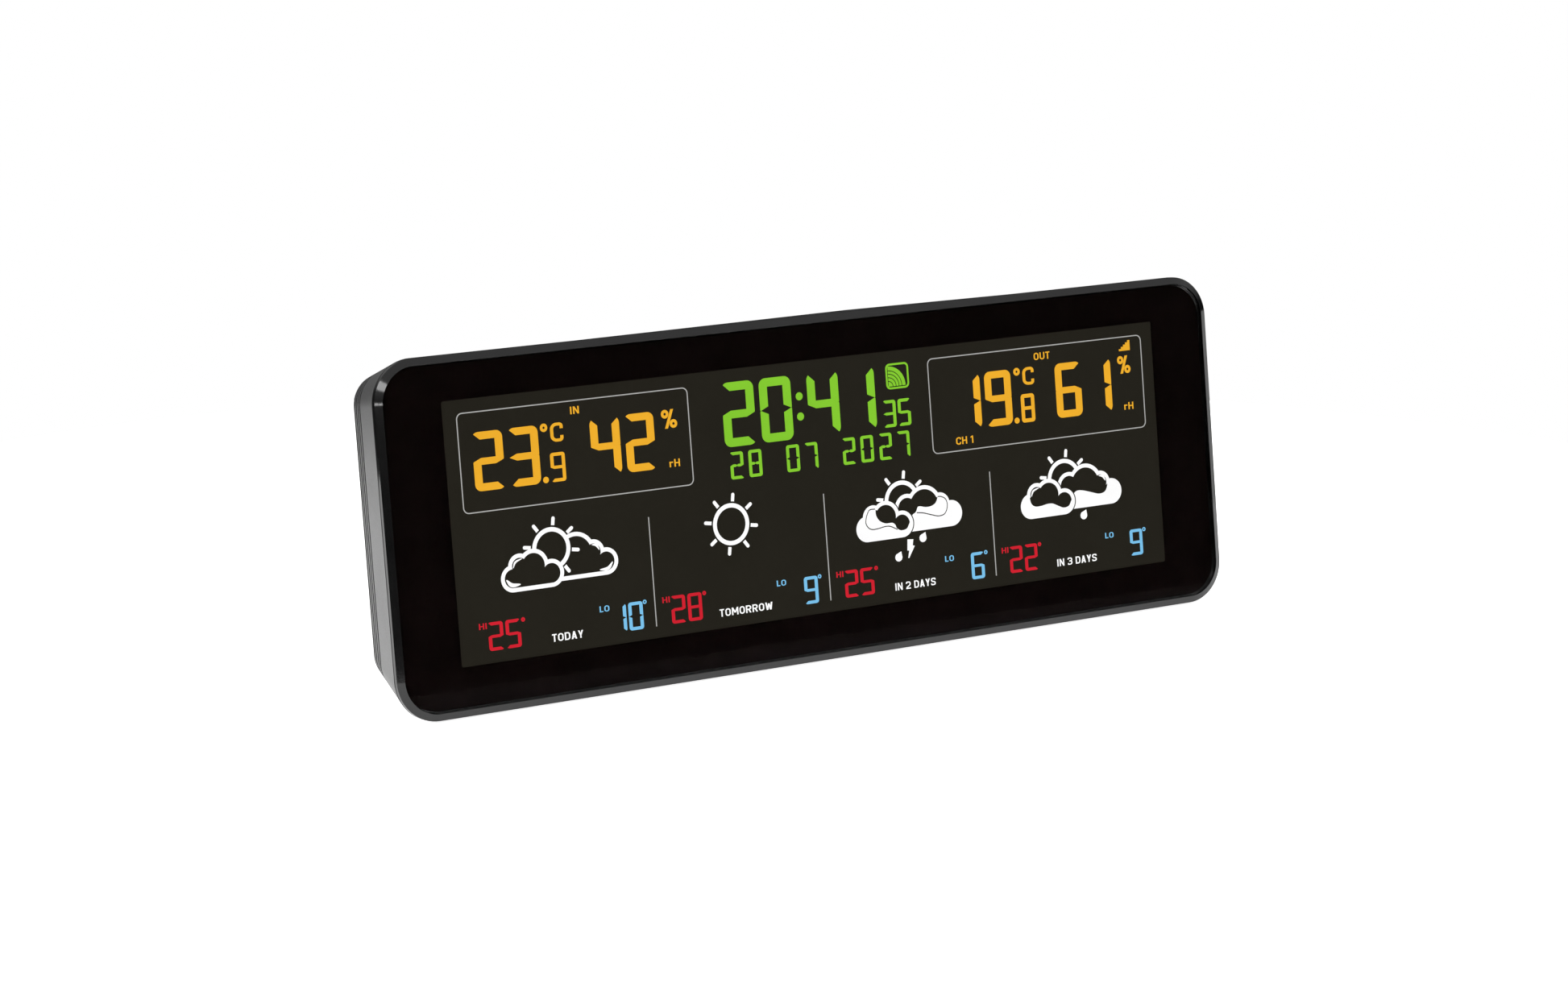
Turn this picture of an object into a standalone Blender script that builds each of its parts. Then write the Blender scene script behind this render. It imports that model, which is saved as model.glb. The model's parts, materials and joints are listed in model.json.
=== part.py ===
"""Home weather station: a slim desk display with a glossy front, a ribbed rear case and a fold-out foot.

The device frame has X to the right of the display, Y from the window to the back, and Z up the face, with its
origin in the middle of the window's front. The device leans back in the world, on two front feet and the foot
behind it, and the world's origin is the middle of its base. Sizes are in metres.
"""

import math

import bmesh
import bpy
from mathutils import Matrix, Vector

MM = 0.001

# Outline of the front and of the back
WIDTH = 208 * MM
HEIGHT = 73.5 * MM
CORNER = 9 * MM
DEPTH = 18 * MM
SIDE_TAPER = 3.6 * MM
TOP_TAPER = 3.65 * MM
BOTTOM_TAPER = 6.55 * MM
CORNER_TAPER = 2.65 * MM
CORNER_STEPS = 16
LEAN = math.radians(7.7)
GROUND_CLEARANCE = 0.35 * MM

# Clearances between pieces
GAP = 0.3 * MM
FILM_GAP = 0.15 * MM
CUT = 1 * MM

# Bezel
CHAMFER_WIDTH = 1.5 * MM
CHAMFER_DEPTH = 0.75 * MM
LIP_BACK = 1.65 * MM
LEDGE_WIDTH = 3.9 * MM
SPIGOT_WALL = 1.7 * MM
SPIGOT_BACK = 3.7 * MM

# Window, display and backlight, from front to back
WINDOW_THICKNESS = 1.2 * MM
MASK_THICKNESS = 0.15 * MM
VIEW_WIDTH = 179 * MM
VIEW_HEIGHT = 55.2 * MM
VIEW_RISE = 0.34 * MM
GLASS_MARGIN = 1.6 * MM
GLASS_THICKNESS = 2 * MM
FILM_THICKNESS = 0.2 * MM
GUIDE_THICKNESS = 2.5 * MM
TRAY_WALL = 1 * MM
TRAY_FLOOR = 1.2 * MM
LED_BOARD_THICKNESS = 0.8 * MM
LED_DEPTH = 1.4 * MM
LED_LENGTH = 3 * MM
LED_COUNT = 4
ZEBRA_THICKNESS = 1.5 * MM
ZEBRA_LENGTH = 150 * MM

# Rear case
WALL = 2 * MM
RIB_COUNT = 4
RIB_PITCH = 1.5 * MM
GROOVE_WIDTH = 0.75 * MM
GROOVE_DEPTH = 0.45 * MM
BACK_EDGE = 0.4 * MM

# Main board and what it carries
BOARD_THICKNESS = 1.6 * MM
BOARD_WIDTH = 168 * MM
BOARD_TOP = 27 * MM
BOARD_BOTTOM = -30 * MM
BOARD_SCREW_X = 78 * MM
BOARD_SCREW_Z = 22 * MM
BOARD_SCREW_R = 1 * MM
BOARD_HEAD_R = 2 * MM

# Case screws
SCREW_EDGE = 7.4 * MM
SCREW_Z = 22 * MM
SCREW_R = 1.2 * MM
SCREW_HEAD_R = 2 * MM
SCREW_HEAD_LENGTH = 1.6 * MM
SCREW_SINK = 3 * MM
POST_R = 2.6 * MM
POST_GAP_Y = 10 * MM
BOSS_R = 3.1 * MM

# Top key
SNOOZE_LENGTH = 114 * MM
SNOOZE_DEPTH = 5.8 * MM
SNOOZE_Y = 8.6 * MM
SNOOZE_PROUD = 1 * MM
SNOOZE_CROWN = 0.4 * MM
SNOOZE_FLANGE = 0.8 * MM
SNOOZE_FLANGE_THICKNESS = 1 * MM
SNOOZE_TRAVEL = 0.6 * MM
SNOOZE_FINGER = 6 * MM

# Rear keys and their switches
KEY_WIDTH = 9 * MM
KEY_HEIGHT = 5 * MM
KEY_PROUD = 0.7 * MM
KEY_TRAVEL = 0.5 * MM
KEY_FLANGE = 0.8 * MM
KEY_COLUMNS = (-74 * MM, -61 * MM, -48 * MM)
KEY_ROWS = (9 * MM, -3 * MM)
KEY_NAMES = ("alarm", "channel", "memory", "up", "down", "radio")
SWITCH_SIZE = 6 * MM
SWITCH_HEIGHT = 2.5 * MM
PLUNGER_SIZE = 3 * MM
PLUNGER_HEIGHT = 0.8 * MM

# Coin cell, its cup in the case and its turning door
CELL_X = 62 * MM
CELL_Z = -1 * MM
CELL_R = 10 * MM
CELL_THICKNESS = 3.2 * MM
CUP_WALL = 1.2 * MM
CUP_FLOOR = 0.8 * MM
DOOR_R = 12.2 * MM
DOOR_LUG = 0.8 * MM
DOOR_LUG_WIDTH = 5 * MM
DOOR_TURN = math.radians(40)
CONTACT_THICKNESS = 0.3 * MM
CONTACT_WIDTH = 3.2 * MM

# Power inlet
JACK_X = -66 * MM
JACK_Z = -18 * MM
JACK_R = 3.6 * MM
JACK_BORE_R = 1.75 * MM
JACK_PIN_R = 0.5 * MM

# Fold-out foot
FOOT_WIDTH = 70 * MM
FOOT_LENGTH = 30 * MM
FOOT_THICKNESS = 2.2 * MM
FOOT_BARREL_R = 1.7 * MM
FOOT_PIN_R = 0.75 * MM
FOOT_PIN_END = 2.6 * MM
HINGE_RISE = 11.75 * MM
HINGE_SINK = 1.6 * MM
RECESS_DEPTH = 3.7 * MM
RECESS_WALL = 1.5 * MM
CHEEK = 3 * MM
PAD_WIDTH = 10 * MM
PAD_LENGTH = 4 * MM
PAD_THICKNESS = 0.8 * MM

# Front feet
FRONT_FOOT_X = 78 * MM
FRONT_FOOT_WIDTH = 12 * MM
FRONT_FOOT_FRONT = 3 * MM
FRONT_FOOT_BACK = 8.5 * MM

# Wall-mount keyholes, vents and room sensor
KEYHOLE_X = 52 * MM
KEYHOLE_Z = 19.5 * MM
KEYHOLE_R = 4.2 * MM
KEYHOLE_SLOT = 2 * MM
KEYHOLE_RISE = 6.5 * MM
VENT_X = 86 * MM
VENT_COUNT = 5
VENT_PITCH = 2.4 * MM
VENT_WIDTH = 1 * MM
VENT_LENGTH = 14 * MM
SENSOR_BOARD_WIDTH = 10 * MM
SENSOR_BOARD_HEIGHT = 14 * MM
SENSOR_PEG_LENGTH = 1.8 * MM

# Places that follow from the sizes above
LEDGE_Y = WINDOW_THICKNESS + FILM_GAP
OPENING_INSET = CHAMFER_WIDTH + LEDGE_WIDTH
MASK_Y = WINDOW_THICKNESS + FILM_GAP
GLASS_Y = MASK_Y + MASK_THICKNESS + FILM_GAP
COLOUR_FILM_Y = GLASS_Y + GLASS_THICKNESS + FILM_GAP
GUIDE_Y = COLOUR_FILM_Y + FILM_THICKNESS + FILM_GAP
REFLECTOR_Y = GUIDE_Y + GUIDE_THICKNESS + FILM_GAP
TRAY_FLOOR_Y = REFLECTOR_Y + FILM_THICKNESS + FILM_GAP
BOARD_Y = TRAY_FLOOR_Y + TRAY_FLOOR + GAP
BOARD_BACK = BOARD_Y + BOARD_THICKNESS
PARTS_Y = BOARD_BACK + GAP
CASE_Y = LIP_BACK + GAP
INNER_BACK = DEPTH - WALL
TOP_SLOPE = math.atan2(TOP_TAPER, DEPTH - CASE_Y)
GLASS_HALF = VIEW_WIDTH / 2 + GLASS_MARGIN
GLASS_TOP = VIEW_RISE + VIEW_HEIGHT / 2 + GLASS_MARGIN
GLASS_BOTTOM = VIEW_RISE - VIEW_HEIGHT / 2 - GLASS_MARGIN
HINGE_Y = DEPTH - HINGE_SINK
HINGE_Z = HINGE_RISE - HEIGHT / 2
SCREW_X = WIDTH / 2 - SCREW_EDGE
RECESS_Y = DEPTH - RECESS_DEPTH
SWITCH_TOP = PARTS_Y + SWITCH_HEIGHT + PLUNGER_HEIGHT


def clear_scene():
    for item in list(bpy.data.objects):
        bpy.data.objects.remove(item)


def collection(name):
    made = bpy.data.collections.new(name)
    bpy.context.scene.collection.children.link(made)
    return made


def material(name, colour, roughness, metallic=0.0):
    made = bpy.data.materials.new(name)
    made.use_nodes = True
    shader = made.node_tree.nodes["Principled BSDF"]
    shader.inputs["Base Color"].default_value = (*colour, 1)
    shader.inputs["Roughness"].default_value = roughness
    shader.inputs["Metallic"].default_value = metallic
    return made


def fresh_mesh(name, shape):
    """A mesh from a bmesh, with its faces pointing out."""
    bmesh.ops.recalc_face_normals(shape, faces=shape.faces)
    mesh = bpy.data.meshes.new(name)
    shape.to_mesh(mesh)
    shape.free()
    return mesh


class Model:
    """The collections, the device's empty and the ways to add a piece or a cutter."""

    def __init__(self):
        self.parts = collection("home_weather_station")
        self.cutters = collection("cutters")
        self.device = bpy.data.objects.new("device", None)
        self.parts.objects.link(self.device)
        self.device.rotation_euler = (-LEAN, 0, 0)

    def empty(self, name, location, parent, turn=0.0):
        made = bpy.data.objects.new(name, None)
        self.parts.objects.link(made)
        made.parent = parent
        made.location = location
        made.rotation_euler = (turn, 0, 0)
        return made

    def piece(self, name, mesh, finish, location=(0, 0, 0), parent=None):
        made = bpy.data.objects.new(name, mesh)
        self.parts.objects.link(made)
        made.parent = parent or self.device
        made.location = location
        if not mesh.materials:
            mesh.materials.append(finish)
        return made

    def tool(self, name, mesh, target, operation, location=(0, 0, 0), parent=None):
        """A hidden cutter or union body, and the Boolean on its target."""
        made = bpy.data.objects.new(name, mesh)
        self.cutters.objects.link(made)
        made.parent = parent or self.device
        made.location = location
        made.hide_render = True
        made.display_type = "WIRE"
        boolean = target.modifiers.new(name, "BOOLEAN")
        boolean.object = made
        boolean.operation = operation
        boolean.solver = "EXACT"
        return made

    def cut(self, name, mesh, target, location=(0, 0, 0), parent=None):
        return self.tool(name, mesh, target, "DIFFERENCE", location, parent)

    def add(self, name, mesh, target, location=(0, 0, 0), parent=None):
        return self.tool(name, mesh, target, "UNION", location, parent)


def block(x0, x1, y0, y1, z0, z1, radius=0.0, steps=4, axis=1):
    """A box between two corners, with the four edges along one axis rounded."""
    shape = bmesh.new()
    bmesh.ops.create_cube(shape, size=1)
    size = Vector((x1 - x0, y1 - y0, z1 - z0))
    middle = Vector((x0 + x1, y0 + y1, z0 + z1)) / 2
    bmesh.ops.scale(shape, vec=size, verts=shape.verts)
    bmesh.ops.translate(shape, vec=middle, verts=shape.verts)
    if radius:
        along = [e for e in shape.edges if abs((e.verts[0].co - e.verts[1].co)[axis]) > size[axis] / 2]
        bmesh.ops.bevel(
            shape, geom=along, offset=radius, offset_type="OFFSET", segments=steps,
            profile=0.5, affect="EDGES",
        )
    return fresh_mesh("block", shape)


def rod(radius, y0, y1, steps=24):
    """A cylinder along Y."""
    shape = bmesh.new()
    bmesh.ops.create_cone(shape, cap_ends=True, segments=steps, radius1=radius, radius2=radius, depth=y1 - y0)
    bmesh.ops.rotate(shape, matrix=Matrix.Rotation(math.pi / 2, 3, "X"), verts=shape.verts)
    bmesh.ops.translate(shape, vec=(0, (y0 + y1) / 2, 0), verts=shape.verts)
    mesh = fresh_mesh("rod", shape)
    smooth(mesh)
    return mesh


def axle(radius, half_length, steps=24):
    """A cylinder along X, about its origin."""
    shape = bmesh.new()
    bmesh.ops.create_cone(
        shape, cap_ends=True, segments=steps, radius1=radius, radius2=radius, depth=2 * half_length
    )
    bmesh.ops.rotate(shape, matrix=Matrix.Rotation(math.pi / 2, 3, "Y"), verts=shape.verts)
    mesh = fresh_mesh("axle", shape)
    smooth(mesh)
    return mesh


def smooth(mesh):
    mesh.shade_smooth()
    mesh.set_sharp_from_angle(angle=math.radians(35))


def outline(half_width, top, bottom, radius):
    """Points of a rounded rectangle in X and Z."""
    corners = (
        (half_width - radius, top - radius, 0),
        (-half_width + radius, top - radius, 90),
        (-half_width + radius, bottom + radius, 180),
        (half_width - radius, bottom + radius, 270),
    )
    points = []
    for x, z, start in corners:
        for step in range(CORNER_STEPS + 1):
            angle = math.radians(start + 90 * step / CORNER_STEPS)
            points.append((x + radius * math.cos(angle), z + radius * math.sin(angle)))
    return points


def front_ring(y, inset):
    """The front's outline moved in by an inset."""
    points = outline(WIDTH / 2 - inset, HEIGHT / 2 - inset, -HEIGHT / 2 + inset, CORNER - inset)
    return [(x, y, z) for x, z in points]


def case_ring(y, inset):
    """The rear case's outline at a depth, which tapers to the back, moved in by an inset."""
    share = (y - CASE_Y) / (DEPTH - CASE_Y)
    points = outline(
        WIDTH / 2 - SIDE_TAPER * share - inset,
        HEIGHT / 2 - TOP_TAPER * share - inset,
        -HEIGHT / 2 + BOTTOM_TAPER * share + inset,
        CORNER - CORNER_TAPER * share - inset,
    )
    return [(x, y, z) for x, z in points]


def loft(rings, closed=False):
    """Faces between neighbouring rings, with an end face on each end, or back to the first ring."""
    shape = bmesh.new()
    rows = [[shape.verts.new(point) for point in ring] for ring in rings]
    pairs = list(zip(rows, rows[1:]))
    if closed:
        pairs.append((rows[-1], rows[0]))
    else:
        shape.faces.new(rows[0])
        shape.faces.new(reversed(rows[-1]))
    for near, far in pairs:
        for index in range(len(near)):
            after = (index + 1) % len(near)
            shape.faces.new((near[index], far[index], far[after], near[after]))
    return fresh_mesh("loft", shape)


def ground_z(y):
    """The standing surface's height in the device frame, which drops as the device leans back."""
    lowest = -LIP_BACK * math.sin(LEAN) - HEIGHT / 2 * math.cos(LEAN) - GROUND_CLEARANCE
    return (lowest + y * math.sin(LEAN)) / math.cos(LEAN)


def case_bottom(y):
    return -HEIGHT / 2 + BOTTOM_TAPER * (y - CASE_Y) / (DEPTH - CASE_Y)


def wedge(width, y0, y1, top0, top1, bottom0, bottom1):
    """A pad whose top and bottom slope from its front to its back."""
    shape = bmesh.new()
    bmesh.ops.create_cube(shape, size=1)
    for vert in shape.verts:
        back = vert.co.y > 0
        top = top1 if back else top0
        bottom = bottom1 if back else bottom0
        vert.co = (vert.co.x * width, y1 if back else y0, top if vert.co.z > 0 else bottom)
    return fresh_mesh("wedge", shape)


def materials():
    return {
        "gloss_black": material("gloss_black", (0.012, 0.012, 0.013), 0.12),
        "clear": material("clear_window", (0.03, 0.03, 0.03), 0.03),
        "mask": material("black_ink", (0.01, 0.01, 0.01), 0.5),
        "glass": material("display_glass", (0.035, 0.033, 0.027), 0.15),
        "film": material("colour_film", (0.6, 0.35, 0.1), 0.5),
        "acrylic": material("acrylic", (0.85, 0.87, 0.88), 0.1),
        "white": material("white_plastic", (0.8, 0.8, 0.78), 0.5),
        "grey": material("grey_case", (0.27, 0.27, 0.28), 0.45),
        "key": material("key_plastic", (0.2, 0.2, 0.21), 0.4),
        "board": material("green_board", (0.02, 0.16, 0.06), 0.4),
        "chip": material("chip_resin", (0.02, 0.02, 0.02), 0.6),
        "steel": material("steel", (0.6, 0.6, 0.6), 0.3, 1.0),
        "brass": material("plated_contact", (0.75, 0.65, 0.4), 0.3, 1.0),
        "rubber": material("rubber", (0.03, 0.03, 0.03), 0.8),
        "led": material("led_resin", (0.9, 0.85, 0.6), 0.3),
    }


def front(model, finish):
    """Bezel, window and the black mask behind the window."""
    spigot_inset = OPENING_INSET - SPIGOT_WALL
    bezel = model.piece(
        "bezel_frame",
        loft(
            [
                front_ring(CHAMFER_DEPTH, 0),
                front_ring(0, CHAMFER_WIDTH),
                front_ring(LEDGE_Y, CHAMFER_WIDTH),
                front_ring(LEDGE_Y, OPENING_INSET),
                front_ring(SPIGOT_BACK, OPENING_INSET),
                front_ring(SPIGOT_BACK, spigot_inset),
                front_ring(LIP_BACK, spigot_inset),
                front_ring(LIP_BACK, 0),
            ],
            closed=True,
        ),
        finish["gloss_black"],
    )
    for side in (-1, 1):
        for level in (-1, 1):
            place = (side * SCREW_X, 0, level * SCREW_Z)
            tag = f"{'left' if side < 0 else 'right'}_{'lower' if level < 0 else 'upper'}"
            model.add(f"post_{tag}", rod(POST_R, LEDGE_Y + GAP, POST_GAP_Y), bezel, place)
            model.cut(
                f"post_bore_{tag}", rod(SCREW_R + GAP, LIP_BACK + WALL, POST_GAP_Y + CUT), bezel, place
            )
    window_inset = CHAMFER_WIDTH + FILM_GAP
    model.piece(
        "front_window",
        loft([front_ring(0, window_inset), front_ring(WINDOW_THICKNESS, window_inset)]),
        finish["clear"],
    )
    mask_inset = OPENING_INSET + GAP
    mask = model.piece(
        "window_mask",
        loft([front_ring(MASK_Y, mask_inset), front_ring(MASK_Y + MASK_THICKNESS, mask_inset)]),
        finish["mask"],
    )
    view = block(
        -VIEW_WIDTH / 2, VIEW_WIDTH / 2, MASK_Y - CUT, MASK_Y + CUT,
        VIEW_RISE - VIEW_HEIGHT / 2, VIEW_RISE + VIEW_HEIGHT / 2,
    )
    model.cut("mask_view", view, mask)


def display(model, finish):
    """LCD glass, colour film, light guide, reflector, LEDs and their tray."""
    model.piece(
        "lcd_panel",
        block(-GLASS_HALF, GLASS_HALF, GLASS_Y, GLASS_Y + GLASS_THICKNESS, GLASS_BOTTOM, GLASS_TOP),
        finish["glass"],
    )
    guide_bottom = GLASS_BOTTOM + ZEBRA_THICKNESS + 2 * GAP
    guide_left = -GLASS_HALF + LED_BOARD_THICKNESS + LED_DEPTH + 2 * GAP
    model.piece(
        "colour_film",
        block(
            guide_left, GLASS_HALF, COLOUR_FILM_Y, COLOUR_FILM_Y + FILM_THICKNESS, guide_bottom, GLASS_TOP
        ),
        finish["film"],
    )
    model.piece(
        "light_guide",
        block(guide_left, GLASS_HALF, GUIDE_Y, GUIDE_Y + GUIDE_THICKNESS, guide_bottom, GLASS_TOP),
        finish["acrylic"],
    )
    model.piece(
        "reflector_sheet",
        block(
            guide_left, GLASS_HALF, REFLECTOR_Y, REFLECTOR_Y + FILM_THICKNESS, guide_bottom, GLASS_TOP
        ),
        finish["white"],
    )
    led_board_x = -GLASS_HALF + LED_BOARD_THICKNESS
    model.piece(
        "led_board",
        block(-GLASS_HALF, led_board_x, GUIDE_Y, GUIDE_Y + GUIDE_THICKNESS, guide_bottom, GLASS_TOP),
        finish["board"],
    )
    spacing = (GLASS_TOP - guide_bottom) / LED_COUNT
    for index in range(LED_COUNT):
        middle = guide_bottom + spacing * (index + 0.5)
        model.piece(
            f"backlight_led_{index + 1}",
            block(
                led_board_x + GAP, led_board_x + LED_DEPTH, GUIDE_Y + GAP, GUIDE_Y + GUIDE_THICKNESS - GAP,
                middle - LED_LENGTH / 2, middle + LED_LENGTH / 2,
            ),
            finish["led"],
        )
    room = GLASS_HALF + GAP
    tray = model.piece(
        "lcd_tray",
        block(
            -room - TRAY_WALL, room + TRAY_WALL, GLASS_Y, TRAY_FLOOR_Y + TRAY_FLOOR,
            GLASS_BOTTOM - GAP - TRAY_WALL, GLASS_TOP + GAP + TRAY_WALL,
        ),
        finish["white"],
    )
    model.cut(
        "tray_room",
        block(-room, room, GLASS_Y - CUT, TRAY_FLOOR_Y, GLASS_BOTTOM - GAP, GLASS_TOP + GAP),
        tray,
    )
    zebra_z = GLASS_BOTTOM + GAP
    model.cut(
        "tray_zebra_slot",
        block(
            -ZEBRA_LENGTH / 2 - GAP, ZEBRA_LENGTH / 2 + GAP,
            TRAY_FLOOR_Y - CUT, TRAY_FLOOR_Y + TRAY_FLOOR + CUT,
            zebra_z - GAP, zebra_z + ZEBRA_THICKNESS + GAP,
        ),
        tray,
    )
    model.piece(
        "contact_strip",
        block(
            -ZEBRA_LENGTH / 2, ZEBRA_LENGTH / 2, COLOUR_FILM_Y, BOARD_Y - FILM_GAP,
            zebra_z, zebra_z + ZEBRA_THICKNESS,
        ),
        finish["rubber"],
    )


def case_outer():
    """The case's outer skin, with grooves that leave fine ribs along its back edge."""
    rings = [case_ring(CASE_Y, 0)]
    first = DEPTH - RIB_COUNT * RIB_PITCH
    for index in range(RIB_COUNT):
        start = first + index * RIB_PITCH
        rings += [
            case_ring(start, 0),
            case_ring(start, GROOVE_DEPTH),
            case_ring(start + GROOVE_WIDTH, GROOVE_DEPTH),
            case_ring(start + GROOVE_WIDTH, 0),
        ]
    rings += [case_ring(DEPTH - BACK_EDGE, 0), case_ring(DEPTH, BACK_EDGE)]
    return loft(rings)


def rear_case(model, finish):
    """The rear shell, with its bosses, cell cup, foot recess and all its holes."""
    case = model.piece("rear_case", case_outer(), finish["grey"])
    inside = loft([case_ring(CASE_Y - CUT, WALL), case_ring(INNER_BACK, WALL)])
    model.cut("case_inside", inside, case)
    housing_half = FOOT_WIDTH / 2 + GAP + CHEEK
    recess_bottom = HINGE_Z - FOOT_BARREL_R - GAP
    recess_top = HINGE_Z + FOOT_LENGTH + GAP
    model.add(
        "recess_housing",
        block(
            -housing_half, housing_half, RECESS_Y - RECESS_WALL, INNER_BACK + WALL / 2,
            case_bottom(INNER_BACK) + WALL / 2, recess_top + RECESS_WALL,
        ),
        case,
    )
    bore_back = DEPTH - SCREW_SINK
    for side in (-1, 1):
        for level in (-1, 1):
            tag = f"{'left' if side < 0 else 'right'}_{'lower' if level < 0 else 'upper'}"
            place = (side * SCREW_X, 0, level * SCREW_Z)
            model.add(f"boss_{tag}", rod(BOSS_R, POST_GAP_Y + GAP, INNER_BACK + WALL / 2), case, place)
            place = (side * BOARD_SCREW_X, 0, level * BOARD_SCREW_Z)
            model.add(
                f"board_boss_{tag}", rod(BOARD_HEAD_R, BOARD_BACK + GAP, INNER_BACK + WALL / 2), case, place
            )
    cup_r = DOOR_R + GAP + CUP_WALL + DOOR_LUG
    place = (CELL_X, 0, CELL_Z)
    model.add("cup_body", rod(cup_r, cup_front(), INNER_BACK + WALL / 2, 48), case, place)
    for offset in (-1, 1):
        peg_z = offset * (SENSOR_BOARD_HEIGHT / 2 - CUT)
        model.add(
            f"sensor_peg_{'lower' if offset < 0 else 'upper'}",
            rod(BOARD_SCREW_R, INNER_BACK - SENSOR_PEG_LENGTH, INNER_BACK + WALL / 2, 12),
            case,
            (VENT_X, 0, peg_z),
        )
    model.cut(
        "foot_recess",
        block(
            -FOOT_WIDTH / 2 - GAP, FOOT_WIDTH / 2 + GAP, RECESS_Y, DEPTH + CUT, recess_bottom, recess_top
        ),
        case,
    )
    model.cut(
        "foot_pin_bore", axle(FOOT_PIN_R + GAP, FOOT_WIDTH / 2 + FOOT_PIN_END + GAP, 16), case,
        (0, HINGE_Y, HINGE_Z),
    )
    for side in (-1, 1):
        for level in (-1, 1):
            tag = f"{'left' if side < 0 else 'right'}_{'lower' if level < 0 else 'upper'}"
            place = (side * SCREW_X, 0, level * SCREW_Z)
            model.cut(f"case_bore_{tag}", rod(SCREW_R + GAP, POST_GAP_Y, bore_back + CUT, 16), case, place)
            model.cut(f"case_sink_{tag}", rod(SCREW_HEAD_R + GAP, bore_back, DEPTH + CUT), case, place)
            place = (side * BOARD_SCREW_X, 0, level * BOARD_SCREW_Z)
            model.cut(
                f"board_bore_{tag}", rod(BOARD_SCREW_R + GAP, BOARD_BACK, INNER_BACK - CUT, 12), case, place
            )
    place = (CELL_X, 0, CELL_Z)
    shelf = cell_front() + CELL_THICKNESS
    model.cut("cell_room", rod(CELL_R + GAP, cup_front() + CUP_FLOOR, shelf + CUT, 48), case, place)
    model.cut("door_lug_room", rod(DOOR_R + GAP + DOOR_LUG, shelf, INNER_BACK, 48), case, place)
    model.cut("door_hole", rod(DOOR_R + GAP, INNER_BACK - CUT, DEPTH + CUT, 48), case, place)
    model.cut("door_notches", lug_block(GAP, INNER_BACK - CUT, DEPTH + CUT, DOOR_TURN), case, place)
    model.cut(
        "plus_contact_room",
        block(
            -CONTACT_WIDTH / 2 - GAP, CONTACT_WIDTH / 2 + GAP, cup_front() + CUP_FLOOR, shelf + CUT,
            CELL_R - CUT, CELL_R + 2 * GAP + CONTACT_THICKNESS,
        ),
        case,
        place,
    )
    model.cut("jack_hole", rod(JACK_R + GAP, INNER_BACK - CUT, DEPTH + CUT), case, (JACK_X, 0, JACK_Z))
    for column, x in enumerate(KEY_COLUMNS):
        for row, z in enumerate(KEY_ROWS):
            hole = block(
                -KEY_WIDTH / 2 - GAP, KEY_WIDTH / 2 + GAP, INNER_BACK - CUT, DEPTH + CUT,
                -KEY_HEIGHT / 2 - GAP, KEY_HEIGHT / 2 + GAP, 1.5 * MM,
            )
            model.cut(f"key_hole_{column}_{row}", hole, case, (x, 0, z))
    for side in (-1, 1):
        name = "left" if side < 0 else "right"
        place = (side * KEYHOLE_X, 0, KEYHOLE_Z)
        model.cut(f"keyhole_{name}", rod(KEYHOLE_R, INNER_BACK - CUT, DEPTH + CUT, 32), case, place)
        slot = block(
            -KEYHOLE_SLOT, KEYHOLE_SLOT, INNER_BACK - CUT, DEPTH + CUT, 0, KEYHOLE_RISE, KEYHOLE_SLOT * 0.9
        )
        model.cut(f"keyhole_slot_{name}", slot, case, place)
    for index in range(VENT_COUNT):
        x = VENT_X + (index - (VENT_COUNT - 1) / 2) * VENT_PITCH
        slot = block(
            -VENT_WIDTH / 2, VENT_WIDTH / 2, INNER_BACK - CUT, DEPTH + CUT, -VENT_LENGTH / 2, VENT_LENGTH / 2
        )
        model.cut(f"vent_{index + 1}", slot, case, (x, 0, 0))
    return case


def cup_front():
    return BOARD_BACK + GAP


def cell_front():
    return cup_front() + CUP_FLOOR + CONTACT_THICKNESS + 2 * FILM_GAP


def lug_block(room, y0, y1, turn):
    """Two lugs on opposite sides of the door, as one bar across it, turned about Y."""
    reach = DOOR_R + DOOR_LUG + room
    half = DOOR_LUG_WIDTH / 2 + room
    mesh = block(-reach, reach, y0, y1, -half, half)
    mesh.transform(Matrix.Rotation(turn, 4, "Y"))
    return mesh


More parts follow.
